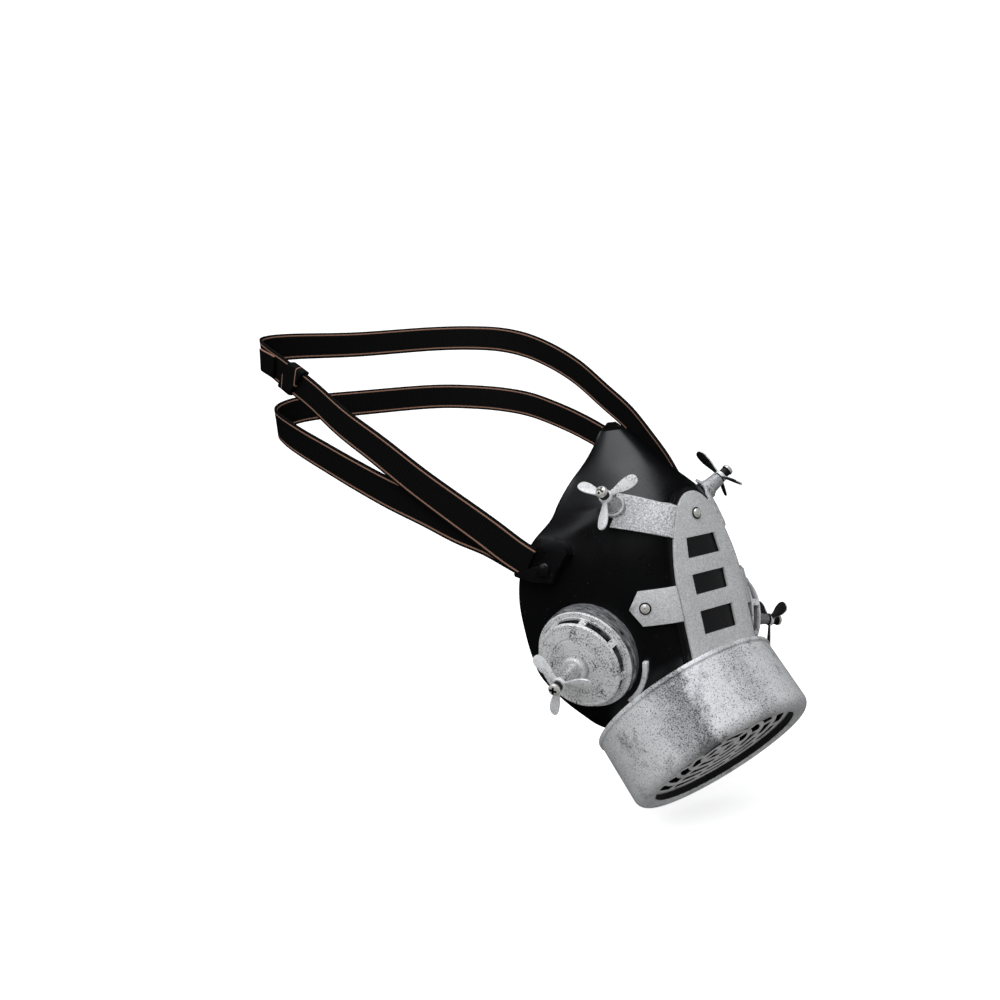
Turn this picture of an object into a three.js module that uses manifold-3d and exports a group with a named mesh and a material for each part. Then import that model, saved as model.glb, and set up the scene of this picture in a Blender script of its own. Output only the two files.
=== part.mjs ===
// A costume half mask in the style of a gas mask, worn over nose and mouth and held by two
// elastic bands. Millimetres, +Z up, the mask's front towards -Y, the wearer's left towards +X.
// The origin is the middle of the opening for the face.

import * as THREE from "three";
import { mergeVertices } from "three/addons/utils/BufferGeometryUtils.js";
import Module from "manifold-3d";

const wasm = await Module();
wasm.setup();

// Shell: a black moulded half mask, hollow and open behind.
const HALF_WIDTH = 48.8;
const NOSE_RISE = 65;
const CHIN_DROP = 63.5;
const FRONT_REACH = 50;
const RIM_SETBACK = 10;
const SHELL_WALL = 2;
const SHELL_COLUMNS = 16;
const STATION_GAP = 0.16;

// The gap that parts of the mask keep where they meet.
const CLEAR = 0.3;

// Ladder plate down the middle, on a raised land of the shell.
const PLATE_TOP = 34.3;
const PLATE_HALF_WIDTH = 17.5;
const PLATE_THICK = 1.2;
const LAND_STEP = 1.2;
const LAND_MARGIN = 2;
const WINDOW_TOP = 17;
const WINDOW_HEIGHTS = [7.6, 7.6, 8.8];
const WINDOW_PITCH = 13.9;
const WINDOW_HALF_WIDTH = 9;
const TOP_RIVET_UP = 25.5;
const RIVET_RADIUS = 2.3;
const RIVET_HEIGHT = 1.4;

// Side strips of leatherette: an arm at the top and a pointed tab below it.
const STRIP_THICK = 1.1;
const ARM_INNER = { low: [8, 15], high: [8, 28.8] };
const ARM_OUTER = { low: [28, 24.8], high: [21.5, 36.4] };
const ARM_GRID = [6, 3];
const TAB_OUT = 28;
const TAB_POINT = 2.6;
const TAB_GRID = [4, 4];
const TAB_LOW = -12.5;
const TAB_HIGH = 0.6;
const TAB_RIVET_OUT = 27;

// Upper pedestals, each with a propeller on a screw.
const PEDESTAL_OUT = 24.5;
const PEDESTAL_UP = 31.8;
const PEDESTAL_YAW = 66;
const PEDESTAL_PITCH = 33;
const PEDESTAL_HEIGHT = 7;
const PEDESTAL_FOOT_RADIUS = 4.2;
const PEDESTAL_TOP_RADIUS = 2.8;

// Propellers, their collars and screws.
const BLADE_REACH = 13.7;
const BLADE_HALF_WIDTH = 2.4;
const BLADE_THICK = 0.8;
const BLADE_COUNT = 3;
const BLADE_PITCH = 22;
const UPPER_PHASES = { left: 22, right: 84 };
const LOWER_PHASES = { left: 98, right: 51 };
const HUB_RADIUS = 2.6;
const HUB_HEIGHT = 1.7;
const HUB_EDGES = 10;
const SHANK_RADIUS = 0.8;
const BORE_RADIUS = SHANK_RADIUS + CLEAR;
const COLLAR_RADIUS = 2;
const COLLAR_HEIGHT = 1.9;
const SCREW_HEAD_RADIUS = 2.3;
const SCREW_HEAD_HEIGHT = 1.9;
const SHANK_GRIP = 3;

// Side valves: a slotted ring round a raised disc with a conical boss.
const VALVE_SEAT_BACK = -14.3;
const VALVE_SEAT_UP = -22.4;
const VALVE_YAW = 71.4;
const VALVE_PITCH = -13.3;
const VALVE_RADIUS = 19.7;
const VALVE_STAND = 5.6;
const VALVE_ROOT = 9;
const VALVE_LIP = 0.5;
const DISC_RADIUS = 17;
const DISC_RISE = 5;
const VALVE_BORE_RADIUS = 13;
const VALVE_EDGES = 20;
const SLOT_COUNT = 8;
const SLOT_RIB = 2.4;
const BOSS_FOOT_RADIUS = 4.3;
const BOSS_TIP_RADIUS = 2.2;
const BOSS_TIP = 18.6;
const LUG_GAP = 2.6;
const LUG_THICK = 2;
const LUG_RISE = 1.5;
const LUG_SPAN = 50;
const LUG_TURN = 38;

// Canister: a round drum below the plate, with a grille sunk in its front.
const CANISTER_FORWARD = 24.8;
const CANISTER_BELOW = 46;
const CANISTER_PITCH = 53.3;
const CANISTER_RADIUS = 39.3;
const CANISTER_LENGTH = 29.6;
const CANISTER_WALL = 2.2;
const CANISTER_EDGES = 32;
const CANISTER_LIP = 1.6;
const CANISTER_EDGE = 4;
const MOUTH_RADIUS = 31.2;
const GRILLE_SUNK = 3.2;
const GRILLE_THICK = 1.4;
const GRILLE_HUB_RADIUS = 3.2;
const GRILLE_RINGS = 5;
const GRILLE_BAR = 2.1;
const GRILLE_SLOTS_INNER = 4;
const GRILLE_EDGES = 36;

// Straps: two elastic bands round the back of the head, and the loop that holds them.
const HEAD_BACK = 184;
const HEAD_HALF_BREADTH = 76;
const BAND_WIDTH = 13.4;
const BAND_THICK = 1.2;
const UPPER_RISE = 115;
const LOWER_RISE = 83;
const UPPER_LIFT = 2.8;
const LOWER_LIFT = 0.4;
const BAND_STEPS = 28;
const KEEPER_AT = 0.298;
const KEEPER_LENGTH = 12;
const KEEPER_SLANT = 9;
const TAIL_LENGTH = 16;
const TAIL_STEPS = 6;
const TAIL_CURL = 1.2;

// Strap brackets: moulded lugs on the shell's flanks that take both bands.
const BRACKET_BACK = -4;
const BRACKET_UP = 14;
const BRACKET_STAND = 4.8;
const BUTTON_AT = [-1, -3.5];
const BUTTON_RADIUS = 2.8;
const BUTTON_HEIGHT = 1;

const UP = new THREE.Vector3(0, 0, 1);
const SIDES = { left: 1, right: -1 };

// Sections of the shell from chin to nose. Each number is a share: up of the rise or drop,
// width of the half width, crest of the front reach and setback of the rim setback. The points
// front, shoulder and flank are shares of this section's own width and crest.
function section(up, width, crest, front, shoulder, flank, setback) {
  return { up, shares: [width, crest, ...front, ...shoulder, ...flank, setback] };
}

const SECTIONS = [
  section(-1, 0.133, 0.44, [0.46, 0.93], [0.77, 0.68], [0.92, 0.27], 0.05),
  section(-0.96, 0.265, 0.56, [0.46, 0.93], [0.73, 0.68], [0.92, 0.27], 0.15),
  section(-0.9, 0.427, 0.72, [0.43, 0.945], [0.67, 0.72], [0.87, 0.25], 0.3),
  section(-0.79, 0.59, 0.85, [0.41, 0.955], [0.655, 0.75], [0.86, 0.25], 0.5),
  section(-0.66, 0.747, 0.93, [0.41, 0.98], [0.63, 0.79], [0.84, 0.27], 0.7),
  section(-0.49, 0.9, 0.958, [0.386, 0.99], [0.58, 0.79], [0.79, 0.28], 0.9),
  section(-0.35, 0.945, 0.937, [0.39, 0.995], [0.595, 0.79], [0.8, 0.285], 1),
  section(-0.19, 0.98, 0.914, [0.385, 0.995], [0.604, 0.78], [0.81, 0.31], 1),
  section(0, 1, 0.886, [0.38, 0.99], [0.61, 0.77], [0.815, 0.32], 0.95),
  section(0.17, 0.97, 0.861, [0.358, 0.99], [0.6, 0.77], [0.82, 0.33], 0.8),
  section(0.34, 0.857, 0.835, [0.333, 0.986], [0.583, 0.773], [0.833, 0.364], 0.5),
  section(0.46, 0.7, 0.817, [0.32, 0.972], [0.62, 0.78], [0.88, 0.45], 0.1),
  section(0.55, 0.617, 0.79, [0.264, 0.946], [0.607, 0.78], [0.87, 0.435], 0.01),
  section(0.66, 0.498, 0.65, [0.27, 0.915], [0.54, 0.71], [0.835, 0.34], -0.15),
  section(0.78, 0.307, 0.468, [0.335, 0.895], [0.596, 0.665], [0.88, 0.37], -0.21),
  section(0.86, 0.22, 0.36, [0.325, 0.92], [0.65, 0.71], [0.9, 0.44], -0.32),
  section(0.94, 0.147, 0.244, [0.36, 0.93], [0.69, 0.75], [0.92, 0.52], -0.4),
  section(1, 0.08, 0.17, [0.38, 0.98], [0.7, 0.87], [0.9, 0.73], -0.45),
];
const INNER_LOWEST = -0.955;
const INNER_HIGHEST = 0.94;

// The way round the head from a bracket to the back: back as a share of HEAD_BACK, the
// breadth as shares of the shell's HALF_WIDTH and of HEAD_HALF_BREADTH, and how far each band
// has climbed above the bracket, as shares of UPPER_RISE and LOWER_RISE.
const HEAD_GIRTH = [
  { back: -0.0165, shell: 0.906, head: 0, upper: -0.013, lower: -0.037 },
  { back: 0.033, shell: 0.987, head: 0, upper: 0.048, lower: 0.042 },
  { back: 0.087, shell: 1.1, head: 0, upper: 0.135, lower: 0.133 },
  { back: 0.152, shell: 0, head: 0.783, upper: 0.23, lower: 0.211 },
  { back: 0.227, shell: 0, head: 0.85, upper: 0.33, lower: 0.307 },
  { back: 0.326, shell: 0, head: 0.92, upper: 0.462, lower: 0.418 },
  { back: 0.434, shell: 0, head: 0.967, upper: 0.583, lower: 0.536 },
  { back: 0.543, shell: 0, head: 0.993, upper: 0.713, lower: 0.649 },
  { back: 0.653, shell: 0, head: 1, upper: 0.817, lower: 0.753 },
  { back: 0.755, shell: 0, head: 0.98, upper: 0.896, lower: 0.843 },
  { back: 0.84, shell: 0, head: 0.914, upper: 0.947, lower: 0.904 },
  { back: 0.912, shell: 0, head: 0.776, upper: 0.978, lower: 0.952 },
  { back: 0.968, shell: 0, head: 0.553, upper: 0.996, lower: 0.988 },
  { back: 1, shell: 0, head: 0, upper: 1, lower: 1 },
];

// Outline of a strap bracket seen from outside, as [backwards, up] from its anchor.
const BRACKET_OUTLINE = [
  [3.5, 9.5],
  [-4, 9.5],
  [-8.8, 7],
  [-10.4, 3.2],
  [-3.5, -8.4],
  [4, -8.4],
  [12, -6.5],
  [13.5, -3.5],
];

// Closed meshes and how they are joined and cut.

function welded(geometry) {
  const bare = geometry.index ? geometry.toNonIndexed() : geometry.clone();
  for (const name of Object.keys(bare.attributes)) {
    if (name !== "position") {
      bare.deleteAttribute(name);
    }
  }
  const merged = mergeVertices(bare, 1e-4);
  const index = merged.index.array;
  const kept = [];
  for (let i = 0; i < index.length; i += 3) {
    const [a, b, c] = [index[i], index[i + 1], index[i + 2]];
    if (a !== b && b !== c && c !== a) {
      kept.push(a, b, c);
    }
  }
  merged.setIndex(kept);
  return facingOut(merged);
}

function facingOut(geometry) {
  const place = geometry.attributes.position;
  const index = geometry.index.array;
  const corner = [new THREE.Vector3(), new THREE.Vector3(), new THREE.Vector3()];
  let volume = 0;
  for (let i = 0; i < index.length; i += 3) {
    corner.forEach((v, k) => v.fromBufferAttribute(place, index[i + k]));
    volume += corner[0].dot(corner[1].clone().cross(corner[2]));
  }
  if (volume < 0) {
    for (let i = 0; i < index.length; i += 3) {
      [index[i], index[i + 1]] = [index[i + 1], index[i]];
    }
  }
  return geometry;
}

function solidOf(geometry) {
  const closed = welded(geometry);
  return new wasm.Manifold(
    new wasm.Mesh({
      numProp: 3,
      vertProperties: new Float32Array(closed.attributes.position.array),
      triVerts: new Uint32Array(closed.index.array),
    }),
  );
}

function geometryOf(solid) {
  const mesh = solid.getMesh();
  const geometry = new THREE.BufferGeometry();
  const place = new Float32Array(mesh.vertProperties);
  geometry.setAttribute("position", new THREE.BufferAttribute(place, 3));
  geometry.setIndex([...mesh.triVerts]);
  return geometry;
}

// Triangles that fill a ring of points in the plane it lies in.
function capTriangles(ring, first, reversed) {
  const normal = new THREE.Vector3();
  ring.forEach((p, i) => normal.add(p.clone().cross(ring[(i + 1) % ring.length])));
  normal.normalize();
  const across = ring[1].clone().sub(ring[0]).projectOnPlane(normal).normalize();
  const up = normal.clone().cross(across);
  const flat = ring.map((p) => new THREE.Vector2(p.dot(across), p.dot(up)));
  const faces = THREE.ShapeUtils.triangulateShape(flat, []);
  return faces.flatMap(([a, b, c]) => (reversed ? [c, b, a] : [a, b, c]).map((k) => first + k));
}

// A closed body through rings of equally many points, with its two end rings filled flat.
function loft(rings) {
  const count = rings[0].length;
  const points = rings.flat();
  const index = [];
  for (let r = 0; r + 1 < rings.length; r += 1) {
    for (let i = 0; i < count; i += 1) {
      const a = r * count + i;
      const b = r * count + ((i + 1) % count);
      index.push(a, b, b + count, a, b + count, a + count);
    }
  }
  const last = rings.length - 1;
  index.push(...capTriangles(rings[0], 0, true));
  index.push(...capTriangles(rings[last], last * count, false));
  const geometry = new THREE.BufferGeometry();
  const place = points.flatMap((p) => p.toArray());
  geometry.setAttribute("position", new THREE.Float32BufferAttribute(place, 3));
  geometry.setIndex(index);
  return facingOut(geometry);
}

function lathe(profile, segments) {
  const points = profile.map(([radius, height]) => new THREE.Vector2(radius, height));
  return welded(new THREE.LatheGeometry(points, segments).rotateX(Math.PI / 2));
}

function extruded(shape, low, high, curveSegments = 12) {
  const options = { depth: high - low, bevelEnabled: false, curveSegments };
  return welded(new THREE.ExtrudeGeometry(shape, options).translate(0, 0, low));
}

// Places that follow the shell.

const sectionRow = new THREE.CubicInterpolant(
  SECTIONS.map((s) => s.up),
  SECTIONS.flatMap((s) => s.shares),
  SECTIONS[0].shares.length,
);

function shareOfHeight(z) {
  return z >= 0 ? z / NOSE_RISE : z / CHIN_DROP;
}

function heightOfShare(up) {
  return up >= 0 ? up * NOSE_RISE : up * CHIN_DROP;
}

function sectionCurve(z) {
  const up = THREE.MathUtils.clamp(shareOfHeight(z), -1, 1);
  const [width, crest, ...shares] = sectionRow.evaluate(up);
  const [frontX, frontY, shoulderX, shoulderY, flankX, flankY, setback] = shares;
  const half = width * HALF_WIDTH;
  const reach = crest * FRONT_REACH;
  const outline = [
    [half, setback * RIM_SETBACK],
    [flankX * half, -flankY * reach],
    [shoulderX * half, -shoulderY * reach],
    [frontX * half, -frontY * reach],
  ];
  const left = outline.map(([x, y]) => new THREE.Vector3(x, y, z));
  const right = outline.map(([x, y]) => new THREE.Vector3(-x, y, z));
  return new THREE.CatmullRomCurve3([...right, new THREE.Vector3(0, -reach, z), ...left.reverse()]);
}

// A point of the shell's outside: round runs from -1 at the right rim to 1 at the left rim.
function skin(round, z, offset = 0) {
  const curve = sectionCurve(z);
  const point = curve.getPoint((round + 1) / 2);
  if (offset !== 0) {
    point.addScaledVector(skinNormal(round, z), offset);
  }
  return point;
}

function skinNormal(round, z) {
  const step = 0.01;
  const here = THREE.MathUtils.clamp(round, step - 1, 1 - step);
  const height = THREE.MathUtils.clamp(z, heightOfShare(step - 1), heightOfShare(1 - step));
  const across = sectionCurve(height).getPoint((here + step + 1) / 2);
  across.sub(sectionCurve(height).getPoint((here - step + 1) / 2));
  const rise = sectionCurve(height + step).getPoint((here + 1) / 2);
  rise.sub(sectionCurve(height - step).getPoint((here + 1) / 2));
  return across.cross(rise).normalize();
}

// Where the left half of the shell reaches a given x or y at height z.
function roundWhere(axis, value, z) {
  const curve = sectionCurve(z);
  let low = 0;
  let high = 1;
  for (let i = 0; i < 30; i += 1) {
    const middle = (low + high) / 2;
    if (curve.getPoint((middle + 1) / 2)[axis] < value) {
      low = middle;
    } else {
      high = middle;
    }
  }
  return (low + high) / 2;
}

function shellStations(lowest, highest) {
  const ups = SECTIONS.map((s) => s.up).filter((up) => up > lowest && up < highest);
  const all = [lowest, ...ups, highest];
  return all.flatMap((up, i) => {
    const next = all[i + 1];
    return next !== undefined && next - up > STATION_GAP ? [up, (up + next) / 2] : [up];
  });
}

function shellRing(up, offset) {
  const z = heightOfShare(up);
  const rounds = Array.from({ length: SHELL_COLUMNS + 1 }, (_, i) => (2 * i) / SHELL_COLUMNS - 1);
  return rounds.map((round) => skin(round, z, offset));
}

// A ring drawn out backwards at both ends.
function drawnBack(ring, distance) {
  const back = new THREE.Vector3(0, distance, 0);
  return [ring[0].clone().add(back), ...ring, ring[ring.length - 1].clone().add(back)];
}

// The shell's outside as a full body, grown by offset.
function shellBody(offset = 0) {
  const rings = shellStations(-1, 1).map((up) => shellRing(up, offset));
  return solidOf(loft(offset > 0 ? rings.map((ring) => drawnBack(ring, 2 * offset)) : rings));
}

function shellHollow() {
  const rings = shellStations(INNER_LOWEST, INNER_HIGHEST).map((up) => shellRing(up, -SHELL_WALL));
  return solidOf(loft(rings.map((ring) => drawnBack(ring, 3 * RIM_SETBACK))));
}

// The flat front of the shell, which the land and the ladder plate lie along.

function frontFrame() {
  const low = skin(0, heightOfShare(SECTIONS[6].up));
  const high = skin(0, heightOfShare(SECTIONS[10].up));
  const along = high.clone().sub(low).normalize();
  const out = new THREE.Vector3(1, 0, 0).cross(along);
  const level = low.clone().addScaledVector(along, -low.z / along.z);
  return new THREE.Matrix4().makeBasis(new THREE.Vector3(1, 0, 0), along, out).setPosition(level);
}

function archShape(grow) {
  const half = PLATE_HALF_WIDTH + grow;
  const top = PLATE_TOP + grow;
  const bottom = -CHIN_DROP;
  const shape = new THREE.Shape();
  shape.moveTo(-half, bottom);
  shape.lineTo(half, bottom);
  shape.lineTo(half, 0);
  shape.bezierCurveTo(half * 0.97, top * 0.36, half * 0.6, top, 0, top);
  shape.bezierCurveTo(-half * 0.6, top, -half * 0.97, top * 0.36, -half, 0);
  shape.closePath();
  return shape;
}

function windowPath(number) {
  const top = WINDOW_TOP - number * WINDOW_PITCH;
  const bottom = top - WINDOW_HEIGHTS[number];
  const path = new THREE.Path();
  const narrow = number === 0 ? 0.87 : 1;
  path.moveTo(-WINDOW_HALF_WIDTH * narrow, top);
  path.lineTo(-WINDOW_HALF_WIDTH, bottom);
  path.lineTo(WINDOW_HALF_WIDTH, bottom);
  path.lineTo(WINDOW_HALF_WIDTH * narrow, top);
  path.closePath();
  return path;
}

// The canister's own frame: its middle line along +Z from the rear face.

function canisterFrame() {
  const turn = new THREE.Matrix4().makeRotationX(THREE.MathUtils.degToRad(90 + CANISTER_PITCH));
  return turn.setPosition(0, -CANISTER_FORWARD, -CANISTER_BELOW);
}

// All that lies beyond the canister's rear face, less the gap to it.
function canisterSide() {
  const size = 4 * CANISTER_RADIUS;
  const block = new THREE.BoxGeometry(size, size, size).translate(0, 0, size / 2 - CLEAR);
  return solidOf(block.applyMatrix4(canisterFrame()));
}

// The shell's outside and its land, grown by offset.
function shellWithLand(offset = 0) {
  const land = extruded(archShape(LAND_MARGIN + offset), -2 * SHELL_WALL, LAND_STEP + offset);
  return shellBody(offset).add(solidOf(land.applyMatrix4(frontFrame())));
}

function shellGeometry() {
  return geometryOf(shellWithLand().subtract(shellHollow()).subtract(canisterSide()));
}

function ladderGeometry() {
  const shape = archShape(0);
  shape.holes = WINDOW_HEIGHTS.map((_, number) => windowPath(number));
  const low = LAND_STEP + CLEAR;
  const plate = extruded(shape, low, low + PLATE_THICK).applyMatrix4(frontFrame());
  return geometryOf(solidOf(plate).subtract(canisterSide()));
}

function ladderKeepOut() {
  const block = extruded(archShape(CLEAR), -4 * SHELL_WALL, 4 * SHELL_WALL);
  return solidOf(block.applyMatrix4(frontFrame()));
}

const shellKeepOut = shellWithLand(CLEAR);

// Strips that lie on the shell: from the plate's edge they step down off the land.

function stripLift(x, z) {
  const landEdge = landHalfWidth(z);
  return LAND_STEP * (1 - THREE.MathUtils.smoothstep(x, landEdge + CLEAR, landEdge + 3 * LAND_STEP));
}

function landHalfWidth(z) {
  const points = archShape(LAND_MARGIN).getPoints(12);
  const right = points.filter((p) => p.x > 0 && p.y >= 0);
  const above = right.findIndex((p) => p.y > z);
  if (above < 1) {
    return above === 0 || z < 0 ? PLATE_HALF_WIDTH + LAND_MARGIN : 0;
  }
  const [a, b] = [right[above - 1], right[above]];
  return THREE.MathUtils.mapLinear(z, a.y, b.y, a.x, b.x);
}

// corner(along, across) gives [x, z] for along and across from 0 to 1.
function strip(corner, low, high, [steps, rowsAcross]) {
  const sheet = (offset) =>
    Array.from({ length: steps + 1 }, (_, i) =>
      Array.from({ length: rowsAcross + 1 }, (_, j) => {
        const [x, z] = corner(i / steps, j / rowsAcross);
        return skin(roundWhere("x", x, z), z, offset + stripLift(x, z));
      }),
    );
  const under = sheet(low);
  const over = sheet(high);
  const rings = under.map((row, i) => [...row, ...over[i].slice().reverse()]);
  return loft(rings);
}

function between(a, b, share) {
  return a.map((value, k) => THREE.MathUtils.lerp(value, b[k], share));
}

function armCorner(along, across) {
  const low = between(ARM_INNER.low, ARM_OUTER.low, along);
  const high = between(ARM_INNER.high, ARM_OUTER.high, along);
  return between(low, high, across);
}

function tabCorner(along, across) {
  const point = TAB_POINT * (1 - Math.abs(2 * across - 1));
  const x = THREE.MathUtils.lerp(PLATE_HALF_WIDTH, TAB_OUT + point, along);
  return [x, THREE.MathUtils.lerp(TAB_LOW, TAB_HIGH, across)];
}

function stripGeometry(corner, grid) {
  const cloth = strip(corner, CLEAR, CLEAR + STRIP_THICK, grid);
  return geometryOf(solidOf(cloth).subtract(ladderKeepOut()).subtract(shellKeepOut));
}

// Frames of the pieces that stand on the shell.

function aimed(origin, axis) {
  const turn = new THREE.Quaternion().setFromUnitVectors(UP, axis);
  return new THREE.Matrix4().compose(origin, turn, new THREE.Vector3(1, 1, 1));
}

function direction(yaw, pitch) {
  const turn = THREE.MathUtils.degToRad(yaw);
  const lift = THREE.MathUtils.degToRad(pitch);
  const level = Math.cos(lift);
  return new THREE.Vector3(level * Math.sin(turn), -level * Math.cos(turn), Math.sin(lift));
}

function pedestalFrame() {
  const onStrip = CLEAR + STRIP_THICK + CLEAR;
  const round = roundWhere("x", PEDESTAL_OUT, PEDESTAL_UP);
  return aimed(skin(round, PEDESTAL_UP, onStrip), direction(PEDESTAL_YAW, PEDESTAL_PITCH));
}

// The valve's frame has its origin on the ring's outer face.
function valveFrame() {
  const axis = direction(VALVE_YAW, VALVE_PITCH);
  const seat = skin(roundWhere("y", VALVE_SEAT_BACK, VALVE_SEAT_UP), VALVE_SEAT_UP);
  return aimed(seat.addScaledVector(axis, VALVE_STAND), axis);
}

function onSkinFrame(axis, value, z, offset) {
  const round = roundWhere(axis, value, z);
  return aimed(skin(round, z, offset), skinNormal(round, z));
}

function rivetGeometry() {
  const dome = [0, 0.3, 0.6, 0.9].map((share) => {
    const turn = (share * Math.PI) / 2;
    return [RIVET_RADIUS * Math.cos(turn), RIVET_HEIGHT * (0.25 + 0.75 * Math.sin(turn))];
  });
  return lathe([[0, 0], [RIVET_RADIUS, 0], ...dome, [0, 0.85 * RIVET_HEIGHT]], 12);
}

function pedestalGeometry() {
  const root = 2 * SHELL_WALL;
  const bore = [
    [BORE_RADIUS, PEDESTAL_HEIGHT],
    [BORE_RADIUS, PEDESTAL_HEIGHT - SHANK_GRIP - CLEAR],
    [0, PEDESTAL_HEIGHT - SHANK_GRIP - CLEAR],
  ];
  const side = [
    [0, -root],
    [PEDESTAL_FOOT_RADIUS, -root],
    [PEDESTAL_FOOT_RADIUS, 0],
    [PEDESTAL_TOP_RADIUS, PEDESTAL_HEIGHT],
  ];
  const cone = lathe([...side, ...bore], 12);
  const seat = strip(armCorner, -3 * SHELL_WALL, CLEAR + STRIP_THICK + CLEAR, ARM_GRID);
  const standing = solidOf(cone.applyMatrix4(pedestalFrame()));
  return geometryOf(standing.subtract(solidOf(seat)).subtract(shellKeepOut));
}

// Propeller parts stand on a tip at height 0 of their own frame, with CLEAR between them.

function bladeShape() {
  const [reach, half] = [BLADE_REACH, BLADE_HALF_WIDTH];
  const [root, neck] = [0.5 * HUB_RADIUS, 0.42 * BLADE_HALF_WIDTH];
  const shape = new THREE.Shape();
  shape.moveTo(root, -neck);
  shape.bezierCurveTo(0.4 * reach, -neck, 0.45 * reach, -half, 0.74 * reach, -half);
  shape.bezierCurveTo(0.95 * reach, -half, reach, -0.5 * half, reach, 0);
  shape.bezierCurveTo(reach, 0.5 * half, 0.95 * reach, half, 0.74 * reach, half);
  shape.bezierCurveTo(0.45 * reach, half, 0.4 * reach, neck, root, neck);
  shape.closePath();
  return shape;
}

function propellerGeometry(phase) {
  let body = solidOf(ringAround(BORE_RADIUS, HUB_RADIUS, HUB_HEIGHT, HUB_EDGES));
  const core = new THREE.CylinderGeometry(BORE_RADIUS, BORE_RADIUS, 4 * HUB_HEIGHT, HUB_EDGES);
  const well = solidOf(core.rotateX(Math.PI / 2));
  for (let i = 0; i < BLADE_COUNT; i += 1) {
    const blade = extruded(bladeShape(), -BLADE_THICK / 2, BLADE_THICK / 2, 3);
    blade.rotateX(THREE.MathUtils.degToRad(BLADE_PITCH));
    blade.translate(0, 0, HUB_HEIGHT / 2);
    blade.rotateZ(THREE.MathUtils.degToRad(phase + (i * 360) / BLADE_COUNT));
    body = body.add(solidOf(blade));
  }
  return geometryOf(body.subtract(well));
}

function ringAround(inner, outer, height, segments) {
  return lathe([[inner, 0], [outer, 0], [outer, height], [inner, height], [inner, 0]], segments);
}

// The screw's frame has its origin under the head.
function screwGeometry(reach) {
  const edge = 0.55 * SCREW_HEAD_HEIGHT;
  const profile = [
    [0, -reach],
    [SHANK_RADIUS, -reach],
    [SHANK_RADIUS, 0],
    [SCREW_HEAD_RADIUS, 0],
    [SCREW_HEAD_RADIUS, edge],
    [0.6 * SCREW_HEAD_RADIUS, SCREW_HEAD_HEIGHT],
    [0, SCREW_HEAD_HEIGHT],
  ];
  const [long, wide] = [1.3 * SCREW_HEAD_RADIUS, 0.28 * SCREW_HEAD_RADIUS];
  const deep = SCREW_HEAD_HEIGHT;
  const slot = new THREE.BoxGeometry(long, wide, deep).translate(0, 0, deep);
  const cross = new THREE.BoxGeometry(wide, long, deep).translate(0, 0, deep);
  return geometryOf(solidOf(lathe(profile, 10)).subtract(solidOf(slot)).subtract(solidOf(cross)));
}

const PROPELLER_STACK = {
  propeller: CLEAR,
  collar: 2 * CLEAR + HUB_HEIGHT,
  head: 3 * CLEAR + HUB_HEIGHT + COLLAR_HEIGHT,
};

// Valve pieces, in the valve's own frame.

function valveGeometry() {
  const ring = VALVE_RADIUS;
  const ringInner = DISC_RADIUS + 0.9;
  const profile = [
    [VALVE_BORE_RADIUS, -VALVE_ROOT],
    [ring + VALVE_LIP, -VALVE_ROOT],
    [ring + VALVE_LIP, -0.6 * VALVE_STAND],
    [ring, -0.5 * VALVE_STAND],
    [ring, -0.8],
    [ring - 0.8, 0],
    [ringInner, 0],
    [DISC_RADIUS, DISC_RISE - 0.7],
    [DISC_RADIUS - 0.7, DISC_RISE],
    [BOSS_FOOT_RADIUS, DISC_RISE + 0.8],
    [BOSS_FOOT_RADIUS * 0.85, DISC_RISE + 4],
    [BOSS_TIP_RADIUS, BOSS_TIP],
    [BORE_RADIUS, BOSS_TIP],
    [BORE_RADIUS, BOSS_TIP - SHANK_GRIP - CLEAR],
    [0, BOSS_TIP - SHANK_GRIP - CLEAR],
    [0, DISC_RISE - 1.8],
    [VALVE_BORE_RADIUS, DISC_RISE - 1.8],
    [VALVE_BORE_RADIUS, -VALVE_ROOT],
  ];
  let body = solidOf(lathe(closedOnAxis(profile), VALVE_EDGES));
  for (let i = 0; i < SLOT_COUNT; i += 1) {
    body = body.subtract(solidOf(slotWedge(i)));
  }
  return geometryOf(solidOf(geometryOf(body).applyMatrix4(valveFrame())).subtract(shellKeepOut));
}

// A profile that runs back along the axis closes into one turned body, so it starts where
// the axis stretch ends.
function closedOnAxis(profile) {
  const start = profile.findLastIndex(([radius]) => radius === 0);
  const open = profile.slice(0, -1);
  return [...open.slice(start), ...open.slice(0, start)];
}

function slotWedge(number) {
  const outer = DISC_RADIUS + 1.3;
  const inner = VALVE_BORE_RADIUS - 1;
  const half = Math.PI / SLOT_COUNT - SLOT_RIB / 2 / DISC_RADIUS;
  const middle = ((number + 0.5) * 2 * Math.PI) / SLOT_COUNT;
  const shape = new THREE.Shape();
  shape.absarc(0, 0, outer, middle - half, middle + half, false);
  shape.absarc(0, 0, inner, middle + half, middle - half, true);
  shape.closePath();
  return extruded(shape, -1.5, DISC_RISE - 1.2, 2);
}

function lugGeometry() {
  const inner = VALVE_RADIUS + LUG_GAP;
  const outer = inner + LUG_THICK;
  const from = THREE.MathUtils.degToRad(LUG_TURN - LUG_SPAN / 2);
  const to = THREE.MathUtils.degToRad(LUG_TURN + LUG_SPAN / 2);
  const shape = new THREE.Shape();
  shape.absarc(0, 0, outer, from, to, false);
  shape.absarc(0, 0, inner, to, from, true);
  shape.closePath();
  const block = extruded(shape, -VALVE_ROOT, LUG_RISE - VALVE_STAND, 3).applyMatrix4(lugFrame());
  return geometryOf(solidOf(block).subtract(shellKeepOut).subtract(canisterSide()));
}

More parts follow.
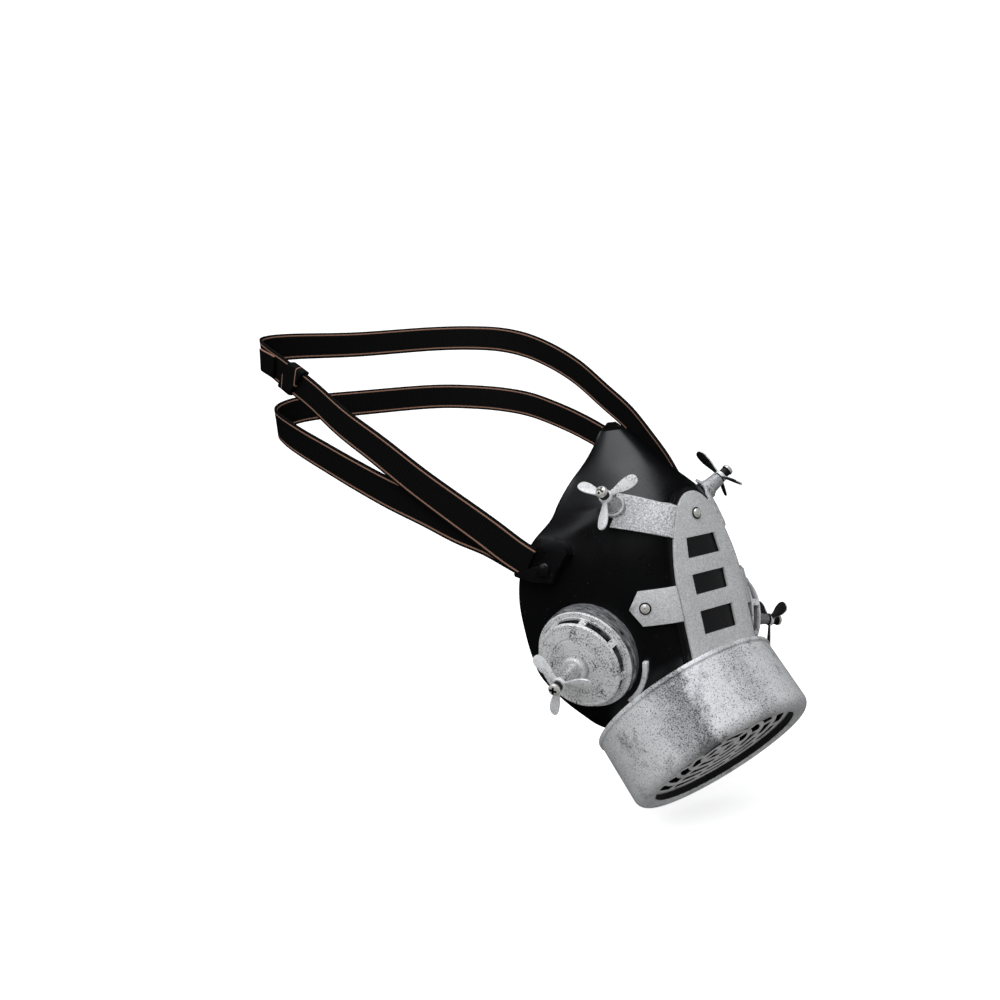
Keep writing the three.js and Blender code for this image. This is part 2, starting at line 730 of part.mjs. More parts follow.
// The lug's frame is the valve's with its own zero towards the mask's front, turning down.
function lugFrame() {
  const frame = valveFrame();
  const out = new THREE.Vector3().setFromMatrixColumn(frame, 2);
  const forward = new THREE.Vector3(0, -1, 0).projectOnPlane(out).normalize();
  const down = out.clone().cross(forward);
  return new THREE.Matrix4().makeBasis(forward, down, out).copyPosition(frame);
}

// Canister pieces, in the canister's own frame.

function drumGeometry() {
  const front = CANISTER_LENGTH;
  const inside = CANISTER_RADIUS - CANISTER_WALL;
  const skirt = front - GRILLE_SUNK;
  const profile = [
    [0, 0],
    [CANISTER_RADIUS - 0.6, 0],
    [CANISTER_RADIUS, 0.6],
    [CANISTER_RADIUS, CANISTER_LIP],
    [CANISTER_RADIUS - 0.5, CANISTER_LIP + 0.5],
    [CANISTER_RADIUS - 0.7, front - CANISTER_EDGE],
    [CANISTER_RADIUS - 0.35 * CANISTER_EDGE, front - 0.5 * CANISTER_EDGE],
    [CANISTER_RADIUS - 0.65 * CANISTER_EDGE, front - 0.15 * CANISTER_EDGE],
    [CANISTER_RADIUS - 1.1 * CANISTER_EDGE, front],
    [MOUTH_RADIUS + 0.9, front],
    [MOUTH_RADIUS, front - 0.9],
    [MOUTH_RADIUS, skirt],
    [MOUTH_RADIUS + 2, skirt],
    [MOUTH_RADIUS + 2, front - CANISTER_WALL],
    [inside, front - CANISTER_WALL - 2],
    [inside, CANISTER_WALL],
    [0, CANISTER_WALL],
  ];
  return lathe(profile, CANISTER_EDGES).applyMatrix4(canisterFrame());
}

function grilleGeometry() {
  const outer = MOUTH_RADIUS + 1.6;
  const pitch = (MOUTH_RADIUS - GRILLE_HUB_RADIUS) / GRILLE_RINGS;
  const turns = Array.from({ length: GRILLE_EDGES }, (_, i) => (i * 2 * Math.PI) / GRILLE_EDGES);
  const rim = turns.map((turn) => new THREE.Vector2(outer * Math.cos(turn), outer * Math.sin(turn)));
  const shape = new THREE.Shape(rim);
  for (let ring = 0; ring < GRILLE_RINGS; ring += 1) {
    const low = GRILLE_HUB_RADIUS + ring * pitch;
    const high = low + pitch - GRILLE_BAR;
    const count = GRILLE_SLOTS_INNER + 2 * ring;
    for (let i = 0; i < count; i += 1) {
      const middle = ((i + 0.5 * (ring % 2)) * 2 * Math.PI) / count;
      const half = Math.PI / count - GRILLE_BAR / (low + high);
      const hole = new THREE.Path();
      hole.absarc(0, 0, high, middle - half, middle + half, false);
      hole.absarc(0, 0, low, middle + half, middle - half, true);
      hole.closePath();
      shape.holes.push(hole);
    }
  }
  const top = CANISTER_LENGTH - GRILLE_SUNK - CLEAR;
  return extruded(shape, top - GRILLE_THICK, top, 1).applyMatrix4(canisterFrame());
}

// Straps.

function bandPath(rise, column, lift) {
  const half = HEAD_GIRTH.map((g) => {
    const breadth = g.shell * HALF_WIDTH + g.head * HEAD_HALF_BREADTH;
    const out = breadth > 0 ? breadth + lift : 0;
    const behind = g.back * HEAD_BACK + (breadth > 0 ? 0 : lift);
    return new THREE.Vector3(out, behind, BRACKET_UP + g[column] * rise);
  });
  const other = half.slice(0, -1).map((p) => p.clone().setX(-p.x));
  return new THREE.CatmullRomCurve3([...other, ...half.slice().reverse()]);
}

function outwardOf(path, share) {
  const along = path.getTangent(share);
  return new THREE.Vector3(-along.y, along.x, 0).normalize();
}

// The four corners of a band's section at a share of its path, sheared along it by slant.
function bandSection(path, share, width, thick, slant = 0) {
  const corners = [[-1, -1], [1, -1], [1, 1], [-1, 1]];
  return corners.map(([w, t]) => {
    const at = share + (w * slant) / path.getLength();
    const out = outwardOf(path, at);
    const across = out.clone().cross(path.getTangent(at)).normalize();
    const point = path.getPoint(at).addScaledVector(across, (w * width) / 2);
    return point.addScaledVector(out, (t * thick) / 2);
  });
}

function band(path, width, thick, from = 0, to = 1, steps = BAND_STEPS, slant = 0) {
  const shares = Array.from({ length: steps + 1 }, (_, i) => THREE.MathUtils.lerp(from, to, i / steps));
  return loft(shares.map((share) => bandSection(path, share, width, thick, slant)));
}

const upperPath = bandPath(UPPER_RISE, "upper", UPPER_LIFT);
const lowerPath = bandPath(LOWER_RISE, "lower", LOWER_LIFT);

function strapGeometry(path) {
  return geometryOf(solidOf(band(path, BAND_WIDTH, BAND_THICK)).subtract(shellKeepOut));
}

function keeperGeometry() {
  const half = KEEPER_LENGTH / 2 / upperPath.getLength();
  const [from, to] = [KEEPER_AT - half, KEEPER_AT + half];
  const [width, thick] = [BAND_WIDTH + 2 * CLEAR, BAND_THICK + 2 * CLEAR];
  const hole = band(upperPath, width, thick, from - half, to + half, 6, KEEPER_SLANT);
  const outer = band(upperPath, width + BAND_THICK, thick + 2 * BAND_THICK, from, to, 4, KEEPER_SLANT);
  return geometryOf(solidOf(outer).subtract(solidOf(hole)));
}

function tailGeometry() {
  const step = TAIL_LENGTH / TAIL_STEPS / upperPath.getLength();
  const from = KEEPER_AT + (KEEPER_LENGTH / 2 + KEEPER_SLANT + CLEAR) / upperPath.getLength();
  const rings = Array.from({ length: TAIL_STEPS + 1 }, (_, i) => {
    const share = from + step * i;
    const curl = TAIL_CURL * Math.sin((i / TAIL_STEPS) * Math.PI * 0.5) ** 2;
    const lift = outwardOf(upperPath, share).multiplyScalar(BAND_THICK + CLEAR + curl);
    return bandSection(upperPath, share, 0.8 * BAND_WIDTH, BAND_THICK).map((p) => p.add(lift));
  });
  return loft(rings);
}

// Strap brackets.

function bracketFrame() {
  const round = roundWhere("y", BRACKET_BACK, BRACKET_UP);
  const out = skinNormal(round, BRACKET_UP);
  const back = new THREE.Vector3(0, 1, 0).projectOnPlane(out).normalize();
  const up = out.clone().cross(back);
  return new THREE.Matrix4().makeBasis(back, up, out).setPosition(skin(round, BRACKET_UP));
}

function bracketGeometry() {
  const outline = BRACKET_OUTLINE.map(([back, up]) => new THREE.Vector2(back, up));
  const plate = extruded(new THREE.Shape(outline), -SHELL_WALL, BRACKET_STAND);
  const [wide, high] = [BAND_WIDTH + 2 * CLEAR, BAND_THICK + 2 * CLEAR];
  const room = (path) => solidOf(band(path, wide, high, 0.85, 1, 6));
  return geometryOf(
    solidOf(plate.applyMatrix4(bracketFrame()))
      .subtract(shellKeepOut)
      .subtract(room(upperPath))
      .subtract(room(lowerPath)),
  );
}

function buttonGeometry() {
  const [low, high] = [BRACKET_STAND + CLEAR, BRACKET_STAND + CLEAR + BUTTON_HEIGHT];
  const profile = [
    [0, low],
    [BUTTON_RADIUS, low],
    [BUTTON_RADIUS, high - 0.3],
    [BUTTON_RADIUS - 0.5, high],
    [0, high],
  ];
  return lathe(profile, 14).translate(...BUTTON_AT, 0).applyMatrix4(bracketFrame());
}

// Materials and the finished object.

const FINISHES = {
  black_plastic: { color: 0x111113, roughness: 0.3, metalness: 0 },
  black_inner: { color: 0x0c0c0d, roughness: 0.6, metalness: 0 },
  silver_leatherette: { color: 0xb2b4b6, roughness: 0.5, metalness: 0.5 },
  silver_paint: { color: 0xb9bcbe, roughness: 0.45, metalness: 0.6 },
  nickel: { color: 0xc8c9cb, roughness: 0.25, metalness: 1 },
  elastic: { color: 0x0f0f10, roughness: 0.9, metalness: 0 },
};

const mask = new THREE.Group();

function addPiece(name, geometry, finish) {
  const piece = new THREE.Mesh(geometry, new THREE.MeshStandardMaterial(FINISHES[finish]));
  piece.name = name;
  mask.add(piece);
  return piece;
}

function mirrored(geometry) {
  return welded(geometry.clone().applyMatrix4(new THREE.Matrix4().makeScale(-1, 1, 1)));
}

// One piece on each side, made for the left and mirrored for the right.
function addPair(name, geometry, finish) {
  addPiece(`${name}_left`, geometry, finish);
  addPiece(`${name}_right`, mirrored(geometry), finish);
}

// A propeller, its collar and its screw on the tip of a boss, in the frame given.
function addPropeller(place, frame, tip, phases) {
  for (const [side, sign] of Object.entries(SIDES)) {
    const swap = new THREE.Vector3(sign, 1, 1);
    const origin = new THREE.Vector3().setFromMatrixPosition(frame).multiply(swap);
    const axis = new THREE.Vector3().setFromMatrixColumn(frame, 2).multiply(swap);
    const at = (height) => aimed(origin.clone().addScaledVector(axis, tip + height), axis);
    const propeller = propellerGeometry(phases[side]).applyMatrix4(at(PROPELLER_STACK.propeller));
    const collar = ringAround(BORE_RADIUS, COLLAR_RADIUS, COLLAR_HEIGHT, HUB_EDGES);
    const screw = screwGeometry(PROPELLER_STACK.head + SHANK_GRIP);
    addPiece(`propeller_${place}_${side}`, propeller, "silver_paint");
    addPiece(`collar_${place}_${side}`, collar.applyMatrix4(at(PROPELLER_STACK.collar)), "black_inner");
    addPiece(`screw_${place}_${side}`, screw.applyMatrix4(at(PROPELLER_STACK.head)), "nickel");
  }
}

addPiece("shell", shellGeometry(), "black_plastic");
addPiece("ladder_plate", ladderGeometry(), "silver_leatherette");
const plateFace = LAND_STEP + CLEAR + PLATE_THICK + CLEAR;
const rivetPlace = new THREE.Matrix4().makeTranslation(0, TOP_RIVET_UP, plateFace);
addPiece("rivet_top", rivetGeometry().applyMatrix4(frontFrame().multiply(rivetPlace)), "nickel");
addPair("arm", stripGeometry(armCorner, ARM_GRID), "silver_leatherette");
addPair("tab", stripGeometry(tabCorner, TAB_GRID), "silver_leatherette");
const tabMiddle = (TAB_LOW + TAB_HIGH) / 2;
const tabFace = 2 * CLEAR + STRIP_THICK + stripLift(TAB_RIVET_OUT, tabMiddle);
const tabRivetFrame = onSkinFrame("x", TAB_RIVET_OUT, tabMiddle, tabFace);
addPair("rivet", rivetGeometry().applyMatrix4(tabRivetFrame), "nickel");
addPair("pedestal", pedestalGeometry(), "silver_paint");
addPropeller("upper", pedestalFrame(), PEDESTAL_HEIGHT, UPPER_PHASES);
addPair("valve", valveGeometry(), "silver_paint");
addPair("valve_lug", lugGeometry(), "silver_paint");
addPropeller("lower", valveFrame(), BOSS_TIP, LOWER_PHASES);
addPiece("canister_drum", drumGeometry(), "silver_paint");
addPiece("canister_grille", grilleGeometry(), "silver_paint");
addPair("strap_bracket", bracketGeometry(), "black_plastic");
addPair("bracket_button", buttonGeometry(), "black_plastic");
addPiece("strap_upper", strapGeometry(upperPath), "elastic");
addPiece("strap_lower", strapGeometry(lowerPath), "elastic");
addPiece("strap_keeper", keeperGeometry(), "elastic");
addPiece("strap_tail", tailGeometry(), "elastic");

export default mask;
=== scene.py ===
"""A costume half mask in the style of a gas mask, dressed and lit for its picture."""

import math
from bisect import bisect_right

import bmesh
import bpy
from mathutils import Matrix, Vector
from mathutils.geometry import interpolate_bezier


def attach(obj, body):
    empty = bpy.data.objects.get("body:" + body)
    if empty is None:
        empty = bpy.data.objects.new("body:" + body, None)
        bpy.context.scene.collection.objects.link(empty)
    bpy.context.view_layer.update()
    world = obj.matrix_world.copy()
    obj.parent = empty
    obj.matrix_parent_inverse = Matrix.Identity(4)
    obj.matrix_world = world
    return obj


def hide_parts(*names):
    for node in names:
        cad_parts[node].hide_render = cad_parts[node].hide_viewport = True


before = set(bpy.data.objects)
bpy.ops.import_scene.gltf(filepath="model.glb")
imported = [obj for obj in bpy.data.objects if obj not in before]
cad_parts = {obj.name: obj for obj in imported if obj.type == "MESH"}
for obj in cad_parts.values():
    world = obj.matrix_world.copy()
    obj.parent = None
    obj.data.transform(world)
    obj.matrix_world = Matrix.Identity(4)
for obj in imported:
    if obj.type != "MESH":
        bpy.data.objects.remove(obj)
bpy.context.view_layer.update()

# The shell is a half mask moulded in black ABS, with a satin skin that handling has scuffed.
# It is lofted through horizontal sections from chin to nose, open behind, and the canister's
# rear face cuts it off below.
METRES = Matrix.Scale(0.001, 4)
HALF_WIDTH = 48.8
NOSE_RISE = 65
CHIN_DROP = 63.5
FRONT_REACH = 50
RIM_SETBACK = 10
SHELL_WALL = 2
SHELL_LOWEST = -0.96
SHELL_COLUMNS = 96
SHELL_ROWS = 128
NOSE_FROM = 33
NOSE_SMOOTHINGS = 90
PEAK_ROUNDING = 3
PEAK_NARROWING = 0.8
CLEAR = 0.3
CANISTER_FORWARD = 24.8
CANISTER_BELOW = 46
CANISTER_PITCH = 53.3


def section(up, width, crest, front, shoulder, flank, setback):
    """A section: its height as a share of the rise or drop, and its sizes as shares."""
    return up, (width, crest, *front, *shoulder, *flank, setback)


SECTIONS = [
    section(-1, 0.133, 0.44, [0.46, 0.93], [0.77, 0.68], [0.92, 0.27], 0.05),
    section(-0.96, 0.265, 0.56, [0.46, 0.93], [0.73, 0.68], [0.92, 0.27], 0.15),
    section(-0.9, 0.427, 0.72, [0.43, 0.945], [0.67, 0.72], [0.87, 0.25], 0.3),
    section(-0.79, 0.59, 0.85, [0.41, 0.955], [0.655, 0.75], [0.86, 0.25], 0.5),
    section(-0.66, 0.747, 0.93, [0.41, 0.98], [0.63, 0.79], [0.84, 0.27], 0.7),
    section(-0.49, 0.9, 0.958, [0.386, 0.99], [0.58, 0.79], [0.79, 0.28], 0.9),
    section(-0.35, 0.945, 0.937, [0.39, 0.995], [0.595, 0.79], [0.8, 0.285], 1),
    section(-0.19, 0.98, 0.914, [0.385, 0.995], [0.604, 0.78], [0.81, 0.31], 1),
    section(0, 1, 0.886, [0.38, 0.99], [0.61, 0.77], [0.815, 0.32], 0.95),
    section(0.17, 0.97, 0.861, [0.358, 0.99], [0.6, 0.77], [0.82, 0.33], 0.8),
    section(0.34, 0.857, 0.835, [0.333, 0.986], [0.583, 0.773], [0.833, 0.364], 0.5),
    section(0.46, 0.7, 0.817, [0.32, 0.972], [0.62, 0.78], [0.88, 0.45], 0.1),
    section(0.55, 0.617, 0.79, [0.264, 0.946], [0.607, 0.78], [0.87, 0.435], 0.01),
    section(0.66, 0.498, 0.65, [0.27, 0.915], [0.54, 0.71], [0.835, 0.34], -0.15),
    section(0.78, 0.307, 0.468, [0.335, 0.895], [0.596, 0.665], [0.88, 0.37], -0.21),
    section(0.86, 0.22, 0.36, [0.325, 0.92], [0.65, 0.71], [0.9, 0.44], -0.32),
    section(0.94, 0.147, 0.244, [0.36, 0.93], [0.69, 0.75], [0.92, 0.52], -0.4),
    section(1, 0.08, 0.17, [0.38, 0.98], [0.7, 0.87], [0.9, 0.73], -0.45),
]


def eased(start, end, leave, arrive, t):
    """A cubic from start to end that leaves and arrives at the given rates."""
    from_start = (2 * t**3 - 3 * t**2 + 1) * start + (t**3 - 2 * t**2 + t) * leave
    return from_start + (3 * t**2 - 2 * t**3) * end + (t**3 - t**2) * arrive


def rates_at(row):
    """How fast each share changes with height at a section, level at both ends."""
    if row in (0, len(SECTIONS) - 1):
        return [0.0] * len(SECTIONS[row][1])
    sides = []
    for low, high in ((row - 1, row), (row, row + 1)):
        rise = SECTIONS[high][0] - SECTIONS[low][0]
        pairs = zip(SECTIONS[low][1], SECTIONS[high][1])
        sides.append([(b - a) / rise for a, b in pairs])
    return [(a + b) / 2 for a, b in zip(*sides)]


def shares_at(up):
    """The section shares at any height, between the sections of the table."""
    heights = [height for height, _ in SECTIONS]
    row = min(max(bisect_right(heights, up) - 1, 0), len(SECTIONS) - 2)
    rise = heights[row + 1] - heights[row]
    t = (up - heights[row]) / rise
    ends = zip(SECTIONS[row][1], SECTIONS[row + 1][1], rates_at(row), rates_at(row + 1))
    return [eased(a, b, leave * rise, arrive * rise, t) for a, b, leave, arrive in ends]


def curve_at(points, share):
    """A point of the smooth curve through the points, for a share from 0 to 1."""
    place = min(max(share, 0), 1) * (len(points) - 1)
    i = min(int(place), len(points) - 2)
    b, c = points[i], points[i + 1]
    a = points[i - 1] if i else 2 * b - c
    d = points[i + 2] if i + 2 < len(points) else 2 * c - b
    ab, bc, cd = (math.sqrt((q - p).length) for p, q in ((a, b), (b, c), (c, d)))
    leave = ((b - a) / ab - (c - a) / (ab + bc) + (c - b) / bc) * bc
    arrive = ((c - b) / bc - (d - b) / (bc + cd) + (d - c) / cd) * bc
    return eased(b, c, leave, arrive, place - i)


def height_of(up):
    return up * (NOSE_RISE if up >= 0 else CHIN_DROP)


def section_points(up):
    """The nine points that a section's outline runs through, from right rim to left rim."""
    width, crest, front_x, front_y, mid_x, mid_y, side_x, side_y, setback = shares_at(up)
    half, reach, z = width * HALF_WIDTH, crest * FRONT_REACH, height_of(up)
    left = [
        Vector((front_x * half, -front_y * reach, z)),
        Vector((mid_x * half, -mid_y * reach, z)),
        Vector((side_x * half, -side_y * reach, z)),
        Vector((half, setback * RIM_SETBACK, z)),
    ]
    right = [Vector((-p.x, p.y, p.z)) for p in reversed(left)]
    return [*right, Vector((0, -reach, z)), *left]


def skin(around, up):
    """A point of the shell's outside, with around from -1 at the right rim to 1 at the left."""
    return curve_at(section_points(up), (around + 1) / 2)


def skin_normal(around, up):
    step = 0.01
    here = min(max(around, step - 1), 1 - step)
    level = min(max(up, step - 1), 1 - step)
    across = skin(here + step, level) - skin(here - step, level)
    rise = skin(here, level + step) - skin(here, level - step)
    return across.cross(rise).normalized()


def around_where(axis, value, up):
    """Where the left half of the shell reaches a given x or y at a height."""
    low, high = 0.0, 1.0
    for _ in range(30):
        middle = (low + high) / 2
        if skin(middle, up)[axis] < value:
            low = middle
        else:
            high = middle
    return (low + high) / 2


canister_place = Matrix.Translation((0, -CANISTER_FORWARD, -CANISTER_BELOW)) @ Matrix.Rotation(
    math.radians(90 + CANISTER_PITCH), 4, "X"
)


def trimmed_at_canister(bm):
    """Cuts away what lies beyond the canister's rear face, less the gap to it."""
    ahead = canister_place.to_3x3() @ Vector((0, 0, 1))
    bmesh.ops.bisect_plane(
        bm,
        geom=bm.verts[:] + bm.edges[:] + bm.faces[:],
        plane_co=canister_place.translation - ahead * CLEAR,
        plane_no=ahead,
        clear_outer=True,
    )


def add(tree, kind, inputs=None, **settings):
    """Adds a node with its settings; an input is a value or another node's output."""
    node = tree.nodes.new(kind)
    for name, value in settings.items():
        setattr(node, name, value)
    for name, value in (inputs or {}).items():
        if isinstance(value, bpy.types.NodeSocket):
            tree.links.new(value, node.inputs[name])
        else:
            node.inputs[name].default_value = value
    return node


def colour(code):
    """An sRGB hex colour as linear numbers."""
    parts = [int(code[i : i + 2], 16) / 255 for i in (1, 3, 5)]
    return (*[c / 12.92 if c <= 0.04045 else ((c + 0.055) / 1.055) ** 2.4 for c in parts], 1)


def new_material(name):
    """A material with an empty tree, and the tree."""
    material = bpy.data.materials.new(name)
    material.use_nodes = True
    material.node_tree.nodes.clear()
    return material, material.node_tree


def surfaced(tree, inputs):
    """Ends a material's tree in a Principled surface."""
    shader = add(tree, "ShaderNodeBsdfPrincipled", inputs)
    add(tree, "ShaderNodeOutputMaterial", {"Surface": shader.outputs[0]})


def placed(name, bm, place, material, node_names, body="mask", crease=35):
    """Turns a bmesh in millimetres into a finished piece, its own coordinates kept in own."""
    own = bm.verts.layers.float_vector.get("own") or bm.verts.layers.float_vector.new("own")
    for vert in bm.verts:
        if vert[own].length == 0:
            vert[own] = vert.co
    bmesh.ops.transform(bm, matrix=METRES @ place, verts=bm.verts)
    mesh = bpy.data.meshes.new(name)
    bm.to_mesh(mesh)
    bm.free()
    mesh.shade_smooth()
    mesh.set_sharp_from_angle(angle=math.radians(crease))
    mesh.materials.append(material)
    piece = bpy.data.objects.new(name, mesh)
    bpy.context.scene.collection.objects.link(piece)
    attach(piece, body)
    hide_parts(*node_names)
    return piece


def partly(piece, material, faces):
    """Gives some faces of a piece, listed by number, a second material."""
    piece.data.materials.append(material)
    for index in faces:
        piece.data.polygons[index].material_index = 1


def satin_black_abs():
    """Black ABS out of a polished mould: a satin skin, dulled in patches, with fine scuffs."""
    material, tree = new_material("satin_black_abs")
    place = add(tree, "ShaderNodeTexCoord").outputs["Object"]
    patches = add(tree, "ShaderNodeTexNoise", {"Vector": place, "Scale": 1 / 0.014, "Detail": 4})
    scuff_grid = add(
        tree,
        "ShaderNodeMapping",
        {"Vector": place, "Rotation": (0.5, 0.3, 0.9), "Scale": (1 / 0.0007, 1 / 0.006, 1 / 0.004)},
    )
    scuffs = add(tree, "ShaderNodeTexNoise", {"Vector": scuff_grid.outputs[0], "Scale": 1, "Detail": 2})
    marks = add(
        tree,
        "ShaderNodeMapRange",
        {"Value": scuffs.outputs[0], "From Min": 0.68, "From Max": 0.78},
    )
    gloss = add(
        tree,
        "ShaderNodeMapRange",
        {"Value": patches.outputs[0], "From Min": 0.3, "From Max": 0.7, "To Min": 0.24, "To Max": 0.36},
    )
    rough = add(
        tree,
        "ShaderNodeMath",
        {0: marks.outputs[0], 1: 0.16, 2: gloss.outputs[0]},
        operation="MULTIPLY_ADD",
    )
    dust = add(tree, "ShaderNodeTexVoronoi", {"Vector": place, "Scale": 1 / 0.0032})
    specks = add(
        tree,
        "ShaderNodeMapRange",
        {"Value": dust.outputs["Distance"], "From Min": 0.09, "From Max": 0.05},
    )
    faint = add(tree, "ShaderNodeMath", {0: specks.outputs[0], 1: 0.35}, operation="MULTIPLY")
    tone = add(
        tree,
        "ShaderNodeMix",
        {0: faint.outputs[0], 6: colour("#0b0b0c"), 7: colour("#4a4a4c")},
        data_type="RGBA",
    )
    grain = add(tree, "ShaderNodeTexNoise", {"Vector": place, "Scale": 1 / 0.0006, "Detail": 3})
    bump = add(
        tree,
        "ShaderNodeBump",
        {"Height": grain.outputs[0], "Strength": 0.08, "Distance": 0.0001},
    )
    surfaced(
        tree,
        {
            "Base Color": tone.outputs[2],
            "Roughness": rough.outputs[0],
            "IOR": 1.5,
            "Normal": bump.outputs[0],
        },
    )
    return material


black_abs = satin_black_abs()
shell = bmesh.new()
bmesh.ops.create_grid(shell, x_segments=SHELL_COLUMNS, y_segments=SHELL_ROWS, size=1)
for vert in shell.verts:
    share = (vert.co.y + 1) / 2
    vert.co = skin(vert.co.x, SHELL_LOWEST + share * (1 - SHELL_LOWEST))
top_edge = [edge for edge in shell.edges if all(v.co.z > NOSE_RISE - 0.001 for v in edge.verts)]
bmesh.ops.contextual_create(shell, geom=top_edge)
nose = [vert for vert in shell.verts if vert.co.z > NOSE_FROM and not vert.is_boundary]
for _ in range(NOSE_SMOOTHINGS):
    bmesh.ops.smooth_vert(shell, verts=nose, factor=0.5, use_axis_x=True, use_axis_y=True, use_axis_z=True)
for vert in shell.verts:
    share = (vert.co.z - NOSE_RISE + PEAK_ROUNDING) / PEAK_ROUNDING
    vert.co.x *= math.sqrt(1 - (PEAK_NARROWING * min(max(share, 0), 1)) ** 2)
bmesh.ops.recalc_face_normals(shell, faces=shell.faces)
trimmed_at_canister(shell)
shell_piece = placed("moulded_shell", shell, Matrix(), black_abs, ["shell"], crease=40)
wall = shell_piece.modifiers.new("wall", "SOLIDIFY")
wall.thickness = SHELL_WALL / 1000
wall.offset = -1
rim = shell_piece.modifiers.new("rim", "BEVEL")
rim.width = 0.0005
rim.segments = 3
rim.angle_limit = math.radians(60)

# The land is a flat step, moulded in one with the shell, that the ladder plate lies on. It
# shows as a thin black border round the plate.
PLATE_TOP = 34.3
PLATE_HALF_WIDTH = 17.5
PLATE_THICK = 1.2
LAND_STEP = 1.2
LAND_MARGIN = 2
LAND_ROUNDING = 0.35
FRONT_LOW = SECTIONS[6][0]
FRONT_HIGH = SECTIONS[10][0]


def front_place():
    """The frame of the shell's flat front: X across, Y up along it, Z out of it."""
    low, high = skin(0, FRONT_LOW), skin(0, FRONT_HIGH)
    along = (high - low).normalized()
    out = Vector((1, 0, 0)).cross(along)
    level = low - along * (low.z / along.z)
    return Matrix.Translation(level) @ Matrix((Vector((1, 0, 0)), along, out)).transposed().to_4x4()


def arch_outline(grow):
    """The plate's outline, grown by a margin, as points of a closed line."""
    half, top = PLATE_HALF_WIDTH + grow, PLATE_TOP + grow
    foot, knee = Vector((half, 0)), Vector((half * 0.97, top * 0.36))
    shoulder, crown = Vector((half * 0.6, top)), Vector((0, top))
    side = interpolate_bezier(foot, knee, shoulder, crown, 28)
    other = [Vector((-p.x, p.y)) for p in reversed(side[:-1])]
    return [Vector((-half, -CHIN_DROP)), Vector((half, -CHIN_DROP)), *side, *other]


def cut_sheet(outlines, low, high, edge):
    """A flat sheet cut to closed outlines, the inner ones as holes, with rounded edges."""
    flat = bpy.data.curves.new("sheet", "CURVE")
    flat.dimensions = "2D"
    flat.fill_mode = "BOTH"
    flat.extrude = (high - low) / 2 - edge
    flat.bevel_depth = edge
    flat.bevel_resolution = 1
    flat.offset = -edge
    for outline in outlines:
        line = flat.splines.new("POLY")
        line.points.add(len(outline) - 1)
        for point, corner in zip(line.points, outline):
            point.co = (corner[0], corner[1], 0, 1)
        line.use_cyclic_u = True
    drawn = bpy.data.objects.new("sheet", flat)
    mesh = bpy.data.meshes.new_from_object(drawn)
    bm = bmesh.new()
    bm.from_mesh(mesh)
    bmesh.ops.translate(bm, verts=bm.verts, vec=(0, 0, (low + high) / 2))
    bmesh.ops.remove_doubles(bm, verts=bm.verts, dist=0.001)
    bpy.data.objects.remove(drawn)
    bpy.data.curves.remove(flat)
    bpy.data.meshes.remove(mesh)
    return bm


front = front_place()
land = cut_sheet([arch_outline(LAND_MARGIN)], -SHELL_WALL, LAND_STEP, LAND_ROUNDING)
bmesh.ops.transform(land, matrix=front, verts=land.verts)
trimmed_at_canister(land)
placed("shell_land", land, Matrix(), black_abs, ["shell"])

# The ladder plate is embossed leatherette, silver on a black backing, cut with three windows
# and glued down. Its arms and tabs are cut from the same stuff, the arms from a coarser roll.
WINDOW_TOP = 17
WINDOW_HEIGHTS = [7.6, 7.6, 8.8]
WINDOW_PITCH = 13.9
WINDOW_HALF_WIDTH = 9
WINDOW_NARROWING = [0.87, 1, 1]
CUT_EDGE = 0.16


def window_outline(number):
    top = WINDOW_TOP - number * WINDOW_PITCH
    bottom = top - WINDOW_HEIGHTS[number]
    wide, narrow = WINDOW_HALF_WIDTH, WINDOW_HALF_WIDTH * WINDOW_NARROWING[number]
    return [(-narrow, top), (-wide, bottom), (wide, bottom), (narrow, top)]


def leatherette(name, grain_mm, dark, light, depth):
    """Leatherette with a metallic silver print on an embossed grain: each grain catches the
    light on its own, so the sheet glitters, and the valleys between keep the dark backing."""
    material, tree = new_material(name)
    place = add(tree, "ShaderNodeTexCoord").outputs["Object"]
    cells = add(tree, "ShaderNodeTexVoronoi", {"Vector": place, "Scale": 1000 / grain_mm})
    fine = add(
        tree,
        "ShaderNodeTexNoise",
        {"Vector": place, "Scale": 1600 / grain_mm, "Detail": 3, "Roughness": 0.7},
    )
    wear = add(tree, "ShaderNodeTexNoise", {"Vector": place, "Scale": 1 / 0.011, "Detail": 3})
    each = add(tree, "ShaderNodeSeparateColor", {0: cells.outputs["Color"]})
    blend = add(
        tree,
        "ShaderNodeMix",
        {0: 0.65, 2: each.outputs[0], 3: fine.outputs[0]},
        data_type="FLOAT",
    )
    lifted = add(
        tree,
        "ShaderNodeMath",
        {0: wear.outputs[0], 1: 0.15, 2: blend.outputs[0]},
        operation="MULTIPLY_ADD",
    )
    level = add(tree, "ShaderNodeMapRange", {"Value": lifted.outputs[0], "From Min": 0.3, "From Max": 0.85})
    tone = add(
        tree,
        "ShaderNodeMix",
        {0: level.outputs[0], 6: colour(dark), 7: colour(light)},
        data_type="RGBA",
    )
    height = add(
        tree,
        "ShaderNodeMath",
        {0: cells.outputs["Distance"], 1: -0.7, 2: blend.outputs[0]},
        operation="MULTIPLY_ADD",
    )
    bump = add(
        tree,
        "ShaderNodeBump",
        {"Height": height.outputs[0], "Strength": depth, "Distance": grain_mm * 0.0005},
    )
    surfaced(
        tree,
        {
            "Base Color": tone.outputs[2],
            "Metallic": 0.2,
            "Roughness": 0.45,
            "Normal": bump.outputs[0],
        },
    )
    return material


